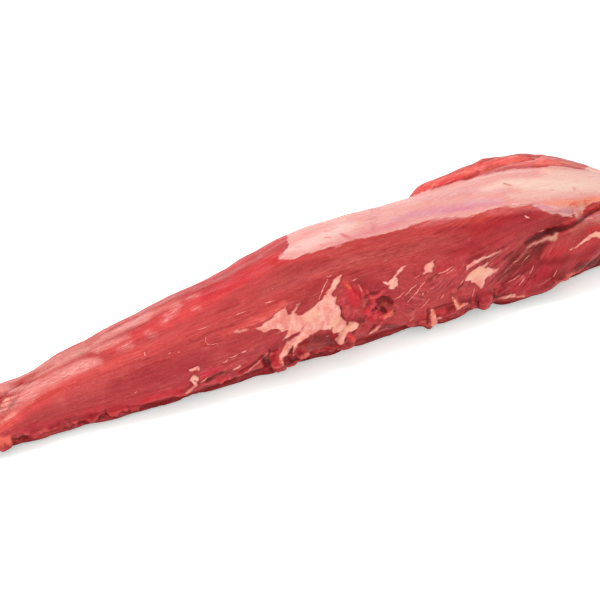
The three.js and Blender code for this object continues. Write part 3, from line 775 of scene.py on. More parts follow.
FLANK_TOP, FLANK_LOW = straight(204, 79, 78), straight(187, 68, 71)
BACK_DULL, BACK_BRIGHT = straight(158, 52, 54), straight(212, 80, 78)
TINTS_SEEN = [
    # colour, softness in mm, strength, then strokes; first the bright band from the tail to the silverskin
    ((230, 80, 82), 5, 0.95, [(112, 349, 3), (150, 328, 5), (190, 307, 10), (220, 291, 9), (250, 274, 8),
        (272, 258, 6), (300, 259, 1)]),
    ((218, 58, 66), 4, 0.8, [(205, 297, 4), (225, 288, 5), (243, 279, 3)], [(262, 262, 3), (280, 262, 2)]),
    ((226, 84, 83), 3, 0.9, [(10, 424, 2), (29, 407, 4), (50, 393, 5), (72, 381, 5), (89, 373, 4)]),
    ((216, 84, 82), 4, 0.8, [(89, 376, 4), (115, 364, 5), (140, 350, 5), (166, 340, 4), (200, 330, 3)]),
    ((206, 86, 84), 5, 0.7, [(60, 400, 5), (90, 388, 6), (120, 372, 4)]),
    ((176, 59, 63), 5, 0.85, [(118, 385, 4), (140, 380, 5), (165, 371, 5), (190, 365, 4), (205, 357, 2)]),
    ((184, 70, 71), 4, 0.7, [(30, 420, 2), (60, 410, 4), (90, 402, 3)]),
    ((232, 138, 130), 3, 0.8, [(0, 386, 4), (20, 377, 4), (45, 364, 4), (75, 349, 4), (105, 332, 3)]),
    ((244, 150, 144), 2, 0.8, [(22, 388, 1), (32, 383, 2), (45, 379, 1)]),
    ((230, 118, 112), 3, 0.85, [(-4, 390, 4), (8, 389, 4), (20, 388, 3)]),
    ((232, 88, 84), 3, 0.9, [(-4, 429, 3), (6, 425, 3), (16, 419, 3)]),
    ((238, 124, 118), 3, 0.8, [(0, 410, 4), (14, 401, 5), (35, 389, 6), (60, 374, 6), (85, 364, 5),
        (97, 361, 3)]),
    ((230, 108, 102), 3, 0.6, [(98, 348, 5), (115, 342, 4), (128, 337, 2)], [(132, 325, 2), (147, 320, 2)]),
    # a pale painted highlight along the tail's upper rim
    ((236, 150, 144), 1.6, 0.7, [(100, 333, 1.2), (150, 308, 1.2), (180, 294, 0.8)]),
    ((196, 84, 80), 1.2, 0.6, [(110, 334, 0.7), (150, 314, 0.7), (180, 299, 0.7)]),
    # the flank, duller where it is thick
    ((201, 77, 77), 4, 0.8, [(196, 320, 2), (230, 300, 4), (262, 281, 5), (295, 268, 4)]),
    ((192, 86, 84), 5, 0.8, [(262, 292, 4), (300, 276, 6), (345, 262, 6), (390, 252, 5), (430, 244, 5),
        (465, 234, 3)]),
    ((178, 68, 69), 4, 0.7, [(286, 272, 3), (305, 265, 4), (325, 263, 3)], [(300, 304, 3), (318, 286, 4)]),
    ((206, 92, 88), 3, 0.6, [(318, 274, 2), (345, 268, 3), (362, 262, 2)], [(330, 252, 2), (352, 247, 2)]),
    ((230, 92, 88), 2, 0.9, [(222, 335, 1), (240, 328, 1.6), (262, 317, 2), (283, 305, 2)]),
    ((236, 104, 96), 1.6, 0.8, [(262, 321, 1), (272, 312, 1.6), (284, 303, 1.4)]),
    ((190, 68, 70), 4, 0.7, [(228, 350, 3), (250, 341, 4), (262, 336, 3)]),
    ((188, 72, 75), 4, 0.8, [(240, 362, 4), (262, 350, 5), (280, 345, 3)]),
    ((182, 66, 68), 4, 0.8, [(306, 300, 3), (320, 285, 5), (350, 276, 5), (380, 274, 4)]),
    # the hollow below the forked fat, and the torn place; their darkest tints are painted shade in that
    # hollow, in the torn hole and its slits, and on the underside below it
    ((138, 34, 38), 2, 0.95, [(301, 346, 3), (318, 339, 4), (328, 337, 4), (330, 345, 3)], [(306, 350, 1.5),
        (326, 345, 2)]),
    ((140, 70, 62), 2, 0.6, [(317, 342, 1.5), (323, 344, 1.5)]),
    ((150, 40, 44), 1, 0.8, [(291, 345, 0.8), (294, 350, 1), (291, 356, 1)]),
    ((172, 56, 62), 3, 0.85, [(362, 284, 3), (376, 286, 4), (388, 293, 3)], [(364, 298, 3), (368, 314, 3),
        (384, 318, 3)]),
    ((204, 52, 62), 1.6, 0.95, [(351, 291, 4), (355, 297, 5.5), (357, 303, 4)]),
    ((199, 71, 76), 2, 0.95, [(345, 302, 3), (347, 308, 4), (350, 314, 4), (357, 314, 3)]),
    ((190, 78, 74), 1.6, 0.8, [(365, 300, 1.6), (364, 306, 2.2), (362, 311, 1.4)]),
    ((216, 64, 72), 1, 0.9, [(360, 286, 0.7), (362, 292, 0.8), (362.5, 298, 0.6)], [(367, 290.5, 0.6),
        (370, 293.5, 0.9), (374, 298, 1)], [(373, 300, 1), (373, 306, 1), (368, 310, 1)]),
    ((226, 74, 78), 1, 0.9, [(372, 298.5, 0.8), (378, 295, 1), (384, 290.5, 0.8)]),
    ((220, 64, 74), 1.6, 0.9, [(366, 312, 2), (373, 315, 3), (382, 317, 2.5)]),
    ((190, 44, 56), 1.2, 0.8, [(368, 319, 1), (376, 320, 1.4), (382, 320, 1)]),
    ((240, 104, 90), 1.2, 0.95, [(385, 318.5, 1.4), (388, 315.5, 2), (391, 313, 1.5)]),
    ((138, 44, 42), 2, 0.9, [(381, 301, 2.5), (386, 304, 2.5)]),
    ((112, 38, 34), 1.2, 0.9, [(384, 298, 1), (387, 298.8, 1.4), (390, 301, 1.2)]),
    ((158, 44, 70), 1, 0.9, [(376.5, 302.5, 1.2), (377.5, 305.5, 1.2)]),
    ((168, 72, 70), 0.8, 0.8, [(381, 306, 0.4), (385.5, 303, 0.5)], [(381, 298, 0.5), (383, 297, 0.5)]),
    ((236, 120, 112), 0.8, 0.8, [(378, 307, 0.8), (381, 309, 0.8)]),
    ((228, 80, 70), 1.2, 0.9, [(343, 282, 1), (347, 285, 1.6), (350, 288, 1.2)], [(337, 298, 0.8),
        (337, 303, 1)]),
    ((142, 46, 44), 1.6, 0.8, [(378, 299, 1), (384, 298, 1.6), (390, 301, 1.6)], [(394.5, 306, 0.8),
        (395, 312, 1), (394, 318, 0.6)]),
    ((128, 28, 34), 1.2, 0.9, [(370, 294, 0.6), (374, 293.5, 1.2), (379, 292, 0.6)], [(364.5, 319, 0.5),
        (364, 323, 0.8)], [(372, 310, 0.4), (378, 309, 0.5)]),
    ((128, 42, 48), 2, 0.9, [(379, 330, 1.5), (386, 326, 2.4), (396, 327, 2.2)]),
    # the lower front of the thick half
    ((178, 60, 63), 5, 0.7, [(395, 290, 4), (404, 304, 5)]),
    ((188, 71, 71), 5, 0.7, [(405, 290, 5), (425, 280, 6), (445, 272, 5)], [(410, 316, 4), (440, 298, 5),
        (462, 288, 3)]),
    ((183, 64, 67), 5, 0.85, [(440, 232, 2), (470, 228, 5), (500, 222, 6), (530, 224, 7), (556, 224, 5)]),
    ((206, 84, 80), 3, 0.7, [(430, 228, 2), (455, 224, 2), (480, 219, 2)]),
    ((174, 54, 60), 3, 0.6, [(505, 221, 3), (522, 215, 3), (540, 214, 3)], [(540, 226, 2), (560, 222, 2)]),
    ((222, 107, 106), 2, 0.9, [(470, 217, 1), (484, 215, 2), (500, 211, 3), (520, 208.5, 2),
        (540, 209, 1)]),
    ((185, 62, 67), 5, 0.7, [(450, 252, 3), (480, 246, 4), (510, 240, 4)]),
    ((195, 71, 73), 4, 0.6, [(440, 262, 2), (470, 256, 4), (500, 250, 3)]),
    ((226, 112, 112), 2.5, 0.9, [(416, 227, 0.6), (428, 224, 1.6), (442, 221.5, 2), (456, 219, 1.6),
        (464, 219, 0.6)]),
    ((208, 78, 70), 2.5, 0.8, [(464, 222, 1), (474, 219, 2), (488, 217, 2)]),
    ((174, 50, 56), 4, 0.6, [(456, 240, 2), (470, 242, 3), (484, 234, 4), (500, 226, 3)], [(450, 254, 2),
        (463, 250, 3)]),
    ((206, 76, 79), 2.5, 0.6, [(484, 246, 1.5), (498, 240, 2), (512, 236, 1.5)], [(452, 262, 1.5),
        (466, 256, 2)], [(436, 266, 2), (446, 262, 2)]),
    ((200, 62, 68), 2, 0.8, [(440, 270, 2), (455, 274, 3), (462, 268, 2)], [(497, 262, 1.5),
        (492, 264, 1)]),
    ((150, 40, 46), 1.6, 0.8, [(466, 262, 0.8), (478, 256, 1.2), (490, 251, 0.8)], [(484, 263.5, 0.8),
        (490, 259.5, 1), (498, 256, 0.8)]),
    ((136, 52, 50), 1.8, 0.75, [(430, 280, 1.5), (436, 275, 1.5)], [(414, 288, 1), (408, 296, 1.2)],
        [(420, 300, 1), (426, 292, 1)]),
    # the wing with its crease; the darkest tints are painted shade in the crease, in the pocket below it and
    # on the wing's underside near the board, and the brown below the crease is partly painted shade
    ((130, 48, 45), 5, 0.9, [(504, 276, 4), (514, 262, 6), (528, 255, 6), (540, 248, 3)]),
    ((112, 36, 36), 2, 0.85, [(530, 249, 1), (541, 245.5, 2), (548, 243, 1)], [(540, 250, 1.4),
        (538, 258, 1.2), (541, 262, 1)]),
    ((124, 34, 38), 1.6, 0.8, [(498, 280, 1), (508, 272, 1.5), (514, 266, 1)], [(502, 284, 1),
        (512, 278, 1.2), (524, 271, 1)], [(505, 259, 1), (512, 253, 1)]),
    ((112, 34, 36), 0.9, 0.85, [(482, 262, 0.3), (492, 255, 0.6), (505, 247, 0.4)], [(492, 268, 0.4),
        (503, 258, 0.7), (514, 251, 0.4)]),
    ((112, 34, 36), 0.9, 0.85, [(500, 274, 0.5), (509, 264, 0.8), (520, 255, 0.5)], [(506, 280, 0.5),
        (516, 270, 0.7), (526, 261, 0.5)]),
    ((120, 36, 40), 0.9, 0.8, [(488, 284, 0.5), (496, 277, 0.8), (502, 270, 0.4)], [(470, 254, 0.3),
        (484, 247, 0.5), (498, 240, 0.3)]),
    ((210, 98, 94), 0.6, 0.85, [(486, 263, 0.3), (498, 254, 0.45), (510, 247, 0.3)], [(499, 267, 0.3),
        (508, 258, 0.4)]),
    ((210, 98, 94), 0.6, 0.85, [(505, 272, 0.3), (515, 262, 0.45), (524, 255, 0.3)], [(498, 282, 0.3),
        (506, 275, 0.4)]),
    ((204, 74, 76), 2, 0.8, [(546, 252, 1.5), (556, 246, 3), (570, 240, 2.5)], [(548, 258, 1),
        (556, 253, 2)]),
    # painted shade in the crease
    ((98, 34, 32), 2, 0.95, [(527, 243, 1.4), (536, 237.5, 2.6), (548, 232.5, 2), (560, 228, 1.4),
        (572, 225, 0.8)]),
    ((150, 42, 45), 4, 0.95, [(535, 276, 4), (550, 276, 5), (562, 272, 4)], [(546, 262, 2), (560, 262, 4),
        (572, 256, 3)], [(438, 316, 4), (452, 308, 4), (470, 302, 3)]),
    ((186, 50, 60), 3, 0.85, [(515, 289, 3), (528, 282, 4), (545, 270, 4)]),
    ((150, 42, 46), 3, 0.85, [(530, 292, 2), (555, 284, 3), (570, 272, 3), (585, 262, 2)]),
    ((202, 64, 67), 2.5, 0.8, [(545, 257, 2), (560, 252, 2.5), (572, 247, 2)], [(572, 252, 2),
        (584, 247, 2.5), (596, 244, 2)]),
    ((184, 70, 70), 4, 0.8, [(556, 244, 3), (570, 237, 4), (585, 232, 4), (600, 243, 3)]),
    ((200, 104, 94), 3, 0.8, [(572, 230, 2), (586, 222, 3), (600, 220, 4)]),
    ((214, 64, 66), 2, 0.8, [(588, 230, 1.5), (600, 227, 1.5)], [(586, 240, 1.5), (594, 239, 1.5)]),
    # painted shade on the wing's underside
    ((112, 40, 36), 3, 0.95, [(578, 268, 3), (590, 263, 4), (604, 260, 4)]),
    ((206, 104, 98), 0.6, 0.85, [(516, 262, 0.3), (522, 254.5, 0.3), (528, 248.5, 0.4)], [(521, 256, 0.3),
        (531, 250, 0.3)]),
    ((230, 150, 134), 0.8, 0.95, [(527, 248.5, 0.3), (534, 244, 0.6), (543, 240, 0.9), (551, 237, 1.1)]),
    ((240, 170, 146), 0.8, 0.95, [(551, 239.5, 1), (555, 236.5, 1.2), (558, 232, 0.8)], [(554, 240.5, 0.7),
        (557, 238, 0.7)]),
    ((224, 108, 96), 2, 0.8, [(566, 279, 1), (572, 275, 2), (577, 272.5, 1.5)]),
    # the wing behind
    ((255, 118, 108), 3, 0.95, [(414, 193, 1), (430, 185, 4), (450, 178, 5), (475, 170, 6), (500, 163, 6),
        (530, 161, 6), (556, 162, 4)]),
    ((238, 76, 82), 2, 0.9, [(418, 191, 1), (428, 187, 1.5)], [(440, 183, 1.6), (456, 178.5, 2),
        (470, 175, 1)], [(480, 164, 1), (492, 161, 1)], [(513, 166.5, 0.8), (530, 165, 1)]),
    ((192, 44, 56), 0.9, 0.9, [(434, 187.6, 0.4), (450, 183, 0.6), (465, 179, 0.5), (480, 175.5, 0.6),
        (500, 171, 0.5), (520, 168, 0.5)], [(522, 167.8, 0.6), (534, 167, 1), (546, 166.5, 0.6)]),
    ((255, 160, 148), 0.9, 0.85, [(456, 174, 0.3), (466, 172, 0.6), (476, 171.5, 0.3)], [(476, 168, 0.4),
        (490, 165.5, 0.7)], [(492, 168.6, 0.4), (503, 168.2, 0.4)], [(506, 157, 0.4), (518, 156.8, 0.5)],
        [(532, 158, 0.4), (548, 157.5, 0.8), (556, 160, 0.4)], [(510, 163.5, 0.3), (526, 162.5, 0.4)],
        [(535, 163.5, 0.6), (545, 163, 0.8)]),
    ((220, 104, 84), 1.2, 0.8, [(537, 155, 0.8), (544, 156.5, 1)], [(432, 182, 0.8), (428, 187, 0.6)]),
    ((244, 106, 98), 2, 0.9, [(462, 176, 1.5), (480, 171, 2.5), (500, 166.5, 2.5), (520, 164.5, 2.5),
        (545, 162, 2)]),
    ((236, 108, 96), 1, 0.85, [(551, 157.4, 0.5), (557, 158.6, 0.5)], [(545, 163.2, 0.6),
        (556, 163.6, 0.8)]),
    ((224, 136, 122), 1, 0.7, [(430, 180.5, 0.6), (460, 169, 0.6), (480, 160.5, 0.6), (510, 155.7, 0.6),
        (545, 155, 0.6)]),
    # the strip along the lower edge, deep crimson, with painted shade in the gaps between its folds and under
    # the fat
    ((172, 40, 52), 1.5, 0.9, [(27, 438, 1.5), (36, 435.5, 2)], [(48, 428.5, 1.6), (58, 427.5, 2)],
        [(84, 420, 2), (98, 416.5, 2)]),
    ((132, 34, 42), 1.4, 0.9, [(62, 427.5, 1.4), (71, 426, 1.6)], [(78, 422, 1), (80, 424, 1)],
        [(14, 439.5, 1), (25, 439, 1)], [(0, 403, 0.6), (0, 409, 1)]),
    ((224, 92, 86), 1.2, 0.8, [(41, 431.5, 0.7), (46, 430.5, 0.8)], [(74, 423, 0.7), (77, 422.5, 0.6)]),
    ((166, 52, 54), 1, 0.7, [(12, 404.5, 0.6), (18, 400.5, 0.6)], [(8, 387, 0.5), (20, 383.5, 0.5)]),
    ((204, 56, 66), 1.6, 0.9, [(108, 412, 2), (120, 408.5, 2.5), (133, 407, 2)], [(142, 401, 2),
        (160, 397, 2.5), (180, 391, 2)]),
    ((208, 58, 70), 1.6, 0.85, [(202, 376, 2), (212, 371.5, 2.5), (222, 368.5, 1.5)], [(214, 380.5, 1.5),
        (230, 377, 1.5)]),
    ((120, 66, 56), 1.4, 0.7, [(208, 379, 1), (222, 373, 1.5), (232, 371, 1)]),
    ((188, 50, 60), 1.6, 0.9, [(240, 374, 2), (252, 368, 2)], [(276, 352, 2), (274, 358, 3),
        (275, 364, 3)]),
    ((228, 76, 74), 1.2, 0.85, [(275, 368, 1.2), (281, 367, 1)], [(283, 356, 1), (282, 361, 1.4)]),
    ((214, 66, 76), 1, 0.9, [(316, 351.5, 0.8), (324, 350, 0.8)]),
    ((196, 50, 60), 1, 0.8, [(326, 347.5, 0.8), (334, 347, 0.8), (341, 345, 0.6)]),
    ((126, 34, 42), 1.2, 0.9, [(334, 350, 1), (345, 347.5, 1.6), (353, 345, 1.6)]),
    ((238, 122, 106), 1, 0.9, [(302, 356.5, 1), (309, 354.5, 1)]),
    ((222, 68, 72), 1.5, 0.9, [(348, 336, 1.5), (352, 339, 2)], [(436, 312, 1.5), (443, 311, 2)]),
    ((172, 50, 60), 2, 0.85, [(480, 298, 2), (486, 299, 4)], [(472, 306, 2), (478, 306, 1.5)]),
    ((140, 48, 66), 1.6, 0.8, [(478, 296, 1), (478, 303, 1.4)]),
    ((212, 72, 76), 1.6, 0.75, [(484, 294, 1.2), (489, 296, 1.2)], [(132, 408, 0.8), (135, 406.5, 0.8)]),
    ((240, 104, 92), 1.6, 0.9, [(0, 441, 3), (6, 441, 3), (11, 439, 2)], [(422, 322, 1.4), (426, 322, 1)]),
    # over these: the tail's pale film with its painted wet highlights, the fresh red of the ridge, and the
    # last small places
    ((240, 142, 132), 3, 0.8, [(98, 342, 3), (112, 334, 5), (130, 325, 5), (146, 316, 3)]),
    ((240, 128, 118), 3, 0.7, [(146, 318, 3), (160, 310, 3), (176, 302, 3)]),
    ((244, 146, 136), 3, 0.75, [(26, 380, 1), (40, 374, 3), (60, 363, 4), (84, 351, 4), (98, 343, 2)]),
    ((216, 96, 92), 3, 0.6, [(-2, 392, 1), (12, 388, 2), (24, 386, 1)]),
    ((210, 70, 70), 1.6, 0.6, [(128, 331, 1), (142, 326, 1.6), (156, 319, 1.2)], [(104, 345, 1),
        (118, 340, 1)]),
    ((222, 44, 52), 2.5, 0.8, [(186, 292, 1), (205, 281, 2.5), (232, 268, 3), (256, 254, 3), (274, 243, 3),
        (284, 238, 2)]),
    ((217, 48, 58), 4, 0.75, [(196, 296, 1), (215, 286, 3), (240, 274, 4), (262, 262, 4), (282, 256, 2)]),
    ((180, 60, 62), 1.4, 0.8, [(216, 314, 0.6), (226, 306, 1.4), (237, 300, 1)]),
    ((214, 92, 88), 2, 0.7, [(308, 258, 1), (320, 254, 1.6), (336, 251, 1)], [(310, 277, 1), (322, 275, 2),
        (336, 271, 1)]),
    ((156, 48, 50), 3, 0.8, [(578, 259, 2), (592, 252, 4), (604, 248, 4)]),
    ((150, 42, 49), 2.5, 0.85, [(522, 272, 1.5), (535, 265, 2.5), (546, 261, 1.5)]),
    ((192, 70, 68), 2, 0.8, [(583, 212, 1.5), (591, 206.5, 2), (600, 204.5, 2)]),
    ((176, 58, 60), 1.4, 0.8, [(0, 403.6, 0.6), (8, 401.8, 0.5), (14, 400, 0.5)], [(0, 408, 0.6),
        (8, 406, 0.5)], [(0, 397, 0.8), (10, 396, 0.6)]),
    ((196, 62, 70), 2, 0.8, [(14, 432, 1), (30, 428, 2.5), (48, 424, 2), (62, 421, 1.5)], [(84, 412, 1.5),
        (100, 408, 2)]),
    ((232, 92, 90), 3, 0.6, [(104, 368, 3), (130, 356, 4), (156, 348, 3)]),
    ((255, 150, 140), 1, 0.7, [(0, 423, 1), (12, 415, 1.4), (24, 407, 1.2), (35, 400, 0.8)]),
    ((206, 70, 66), 1.4, 0.8, [(20, 411, 1), (40, 400, 1.4), (60, 389, 1.2)]),
    ((248, 132, 108), 1.4, 0.85, [(560, 161.5, 2), (570, 163.6, 2.2), (580, 166.2, 1.6), (586, 167.6, 1)]),
    ((206, 66, 66), 1, 0.6, [(556, 161, 0.5), (566, 164, 0.6), (574, 167, 0.6), (583, 168.6, 0.6)]),
]
FLANK_TURNS = 55, 5
AGED_FINE, AGED_SLOPE = 0.5, (-0.5, 0.5)
low_flank = smooth_step(angle, *FLANK_TURNS)
aged = swells(fibre, (90, 15, 1), 11) + AGED_FINE * swells(fibre, (34, 7, 1), 12)
aged = smooth_step(aged, *AGED_SLOPE)
lean = FLANK_TOP + low_flank[:, None] * (FLANK_LOW - FLANK_TOP)
lean += unseen[:, None] * (BACK_BRIGHT + aged[:, None] * (BACK_DULL - BACK_BRIGHT) - lean)
lean = lit_pigment(tinted(lean, TINTS_SEEN))

PEARL = straight(243, 168, 160)
PEARL_TINTS_SEEN = [
    # cream and rosy clouds, mauve where the muscle shows through, small red nicks, and painted highlights
    ((252, 205, 196), 5, 0.95, [(288, 250, 3), (305, 245, 6), (325, 236, 6), (345, 226, 6), (356, 224, 3)]),
    ((250, 172, 146), 3, 0.75, [(314, 226, 1.5), (335, 219, 1.5), (352, 214.5, 1)], [(357, 226, 1.5),
        (364, 220, 1.5)]),
    ((234, 140, 146), 4, 0.9, [(350, 239, 1.5), (368, 232, 3), (386, 227, 4), (402, 221, 3)]),
    ((230, 152, 164), 4, 0.9, [(396, 219, 3), (420, 213.5, 5), (450, 208.5, 5), (480, 204.5, 4),
        (500, 202.5, 2)]),
    ((240, 174, 170), 5, 0.8, [(410, 202, 2), (440, 197, 5), (470, 191, 6), (500, 190, 5)]),
    ((252, 205, 196), 1.6, 0.7, [(420, 194.5, 1), (440, 189.5, 1), (470, 180.5, 1.2), (500, 173.5, 1),
        (530, 170.5, 1)]),
    ((246, 192, 182), 1.4, 0.7, [(400, 207, 1), (430, 200, 1), (458, 194, 1)]),
    ((222, 128, 130), 2, 0.8, [(352, 214, 1), (376, 207, 1.4), (397, 202, 1.6), (412, 198.5, 1)]),
    # a broad painted highlight over the crown, on its own cream
    ((255, 213, 197), 6, 1, [(486, 189, 3), (505, 183, 5), (525, 184, 8), (548, 185, 9), (575, 184, 7),
        (604, 186, 6)]),
    ((232, 146, 140), 4, 0.6, [(425, 201, 2), (445, 197, 3), (465, 194, 3)]),
    ((254, 206, 190), 5, 0.95, [(545, 172, 3), (570, 177, 5), (604, 182, 6)]),
    ((236, 124, 106), 2.5, 0.85, [(550, 158, 2), (560, 161, 2.5), (572, 164, 2.5), (582, 167, 2)]),
    ((255, 214, 186), 2, 0.9, [(588, 169, 1.5), (596, 172, 2)]),
    ((200, 106, 90), 0.7, 0.85, [(561, 164.6, 0.4), (568, 167, 0.5)], [(574, 168.4, 0.4),
        (588, 169.8, 0.5)]),
    ((255, 154, 124), 2.5, 0.95, [(544, 202.5, 1), (560, 203, 2), (575, 203, 3), (602, 199, 3)]),
    ((242, 98, 82), 1.4, 0.85, [(570, 205.5, 0.8), (576, 203, 1)], [(577, 206, 0.8), (579, 202.5, 0.8)],
        [(585, 201, 1), (586, 205, 1.2), (590, 206, 0.8)]),
    ((255, 176, 150), 0.9, 0.8, [(578, 203, 0.6), (579, 207, 0.5)], [(574.5, 208, 0.5), (574, 214, 0.6)],
        [(590, 204, 0.6), (596, 201, 0.5)]),
    ((212, 112, 96), 1.6, 0.9, [(579, 211, 1.5), (581, 216, 1.8)]),
    ((228, 154, 166), 1.4, 0.95, [(536, 206.5, 1), (544, 207, 1.4), (552, 209, 1)], [(560, 211, 1.4),
        (570, 211.5, 1.4)]),
    ((198, 104, 106), 0.8, 0.85, [(546, 210.3, 0.4), (553, 211.3, 0.5), (560, 210.8, 0.3)],
        [(572.6, 209, 0.4), (573, 215, 0.5)]),
    ((250, 192, 184), 0.8, 0.8, [(548, 213, 0.4), (560, 213.6, 0.4), (571, 216, 0.4)], [(552, 206.5, 0.6),
        (558, 208, 0.6)]),
    ((250, 164, 142), 3, 0.7, [(288, 237, 1), (296, 232.5, 1.2), (306, 229, 1)], [(545, 172, 1.4),
        (556, 169, 1.4), (570, 171, 1)]),
    ((232, 178, 184), 3, 0.7, [(468, 202, 2), (484, 201.5, 2.5), (498, 200, 1.6)]),
    ((226, 134, 156), 2, 0.8, [(444, 211.5, 1), (458, 209.5, 1.6), (470, 207.5, 1.2)]),
    ((224, 106, 102), 0.9, 0.9, [(504, 183.3, 0.8), (508, 184.5, 1.1), (511, 185.5, 0.6)]),
    ((236, 140, 136), 0.9, 0.9, [(551, 190, 0.6), (553, 190, 0.6)], [(574, 188, 0.9), (574, 190, 0.7)],
        [(581, 193.3, 0.7)], [(322, 246, 0.8), (327, 245, 0.6)]),
    ((236, 138, 128), 1.2, 0.85, [(325, 231, 1), (330, 231, 1)], [(325, 237.5, 1), (330, 237.5, 1.1)]),
    ((214, 110, 110), 0.8, 0.8, [(331, 229.5, 0.4), (337, 227, 0.5)], [(364, 221, 0.3), (376, 217.5, 0.4)],
        [(357, 229.4, 0.7)], [(362, 227.5, 0.6)], [(336, 236.8, 0.5)], [(296, 247, 0.4), (300, 247, 0.4)]),
    ((228, 136, 142), 1, 0.8, [(320, 244.5, 0.4), (330, 243, 0.5), (342, 241, 0.6)], [(330, 246, 0.6),
        (342, 243.6, 0.8)]),
    # thin painted highlights
    ((255, 224, 214), 1.2, 0.7, [(330, 222, 0.6), (345, 219.5, 0.8)], [(512, 205, 0.3), (528, 204, 0.5),
        (534, 205.5, 0.8)], [(450, 195.5, 0.5), (456, 193.5, 0.6)]),
    ((222, 116, 124), 1.2, 0.9, [(341, 233.5, 1), (345, 236, 1.5), (350, 238.5, 1.2)]),
    ((250, 204, 188), 2, 0.8, [(548, 171, 2), (566, 171.5, 2.2), (584, 173, 2.5), (600, 176, 3)]),
    ((250, 200, 186), 3, 0.7, [(512, 196, 3), (528, 195, 4), (545, 194, 4)]),
]
pearl = lit_pigment(tinted(np.tile(PEARL, (len(skin), 1)), PEARL_TINTS_SEEN))

ORANGE_SEEN = [
    # fat and sinew so thin that the blood shines through
    [(279, 358, 0.8), (283, 366, 0.8)],
    [(284, 350, 1.2), (288, 345, 1)],
    [(346, 284, 1.2), (350, 288, 1.2)],
    [(384, 318, 2), (391, 315, 2.4)],
    [(368, 336, 0.8), (375, 331, 1.2), (380, 325.5, 0.8)],
    [(454, 299, 1.5), (459, 307, 2.5), (466, 304, 1.5)],
    [(433, 312, 1.4), (434, 325, 2.6)],
    [(435, 320, 1.2), (440, 318, 1.2)],
    [(512, 297.5, 0.8), (522, 296.5, 1)],
    [(0, 443, 1), (3, 445, 1)],
    [(5, 443, 1.2), (9, 444, 0.9)],
    [(10, 440, 0.7), (12, 442, 0.6)],
    [(9, 401.5, 0.6), (4, 407, 0.6)],
    [(196, 385, 1.2), (187, 392, 1)],
    [(568, 277, 1), (574, 272.5, 1)],
    [(340, 343, 1), (345, 342, 1)],
]
SHADE_SEEN = [
    # painted shade in the dark places between folds and under flaps
    [(600, 207, 1), (591, 210.5, 1.4), (584, 217, 1), (574, 224, 1.3), (562, 228, 1.4), (550, 231.5, 1)],
    [(383, 297, 0.6), (386, 299, 1.2), (389, 300, 0.5)],
    [(383, 307, 0.5), (384, 310, 1.3)],
    [(361, 321, 0.6), (364, 322, 0.9)],
    [(370, 330.5, 0.8), (375.5, 325.5, 1.0)],
    [(428, 310, 0.3), (428.5, 316, 0.6), (426.5, 322, 0.6)],
    [(464, 307, 0.6), (468.5, 309, 0.8)],
    [(494, 296, 1.2), (499, 298, 1.2)],
    [(502, 299.6, 0.5), (513, 298.6, 0.5)],
    [(501, 283, 0.6), (505, 288, 0.8)],
    [(263, 357, 1), (268, 364, 1.6), (272, 371, 1.4)],
    [(286, 365, 1.2), (294, 360.5, 0.9), (300, 359.5, 0.6)],
    [(310, 357, 0.4), (325, 354, 0.5), (340, 351.8, 0.4)],
    [(331, 341, 0.8), (333, 338, 0.6)],
    [(14, 440, 1.2), (21, 439, 1.2), (28, 438.5, 0.7)],
    [(61, 428.8, 0.8), (76, 427.5, 0.8)],
    [(79, 423, 1.2), (88, 423, 1)],
    [(100, 418, 0.9), (109, 418.3, 0.8)],
    [(116, 417, 0.5), (128, 414.5, 0.8)],
    [(142, 408, 0.8), (157, 405, 1.2), (172, 402.5, 0.9), (184, 398.5, 0.6)],
    [(200, 389, 0.6), (206, 387, 1), (214, 386, 0.6)],
]
FILM_AND_HIGHLIGHTS_SEEN = [
    # the thin pale film on the tail and in a few other places, which also carries painted wet highlights
    [(0, 410, 2), (20, 398, 3), (50, 380, 4), (85, 363, 5), (98, 362, 2)],
    [(-6, 392, 3), (6, 389, 4), (22, 389, 4), (40, 384, 3)],
    [(98, 350, 3), (112, 343, 3), (124, 338, 1.5)],
    [(121, 350, 1.5), (128, 345, 1.8)],
    [(136, 324, 2), (146, 320, 2)],
    [(148, 332, 1.5), (152, 336, 1.5)],
    [(163, 322, 2), (170, 315, 3.5), (177, 307, 3)],
    [(187, 299, 1.6), (197, 295, 1.8)],
    [(195, 308, 1.2), (199, 308, 1)],
    [(580, 218, 2), (600, 216, 3.5)],
    [(521.5, 277, 0)],
    [(104, 336, 2), (118, 329, 3), (134, 321, 3), (150, 313, 2)],
    [(40, 372, 2), (60, 361, 3), (84, 350, 2)],
]
MARBLED_SEEN = [
    # where fine fat runs between the fibres
    [(396, 316, 6), (420, 296, 10), (450, 280, 10), (490, 262, 8)],
    [(505, 286, 5), (528, 272, 6)],
    [(506, 272, 4), (530, 253, 5)],
    [(206, 372, 4), (250, 354, 6)],
]
CALM_SEEN = [
    # smooth places, where the flesh shows few fibres
    [(350, 292, 4), (354, 298, 5), (350, 310, 4)],
    [(540, 280, 4), (556, 268, 6), (580, 254, 7), (596, 250, 5)],
    [(560, 236, 5), (585, 226, 5)],
    [(20, 416, 4), (60, 402, 6), (100, 386, 5)],
    [(482, 296, 4), (486, 302, 4)],
    [(440, 312, 3), (450, 309, 3)],
]
CREAM_SEEN = [
    # the thickest fat, more yellow than the rest
    [(470, 276, 2), (476, 272, 3), (482, 271, 2)],
    [(594, 234.5, 2), (604, 234, 3)],
    [(336, 318, 2), (333, 325, 2)],
    [(352, 325, 1.5), (344, 332, 1.5)],
    [(430, 266, 1.5)],
    [(306, 318, 2), (316, 314, 2)],
]
cream = softly(CREAM_SEEN, 2.5)
film_and_highlight = strokes(FILM_AND_HIGHLIGHTS_SEEN)
orange = strokes(ORANGE_SEEN)
shade = strokes(SHADE_SEEN)
marbled = softly(MARBLED_SEEN, 5)
calm = softly(CALM_SEEN, 4)
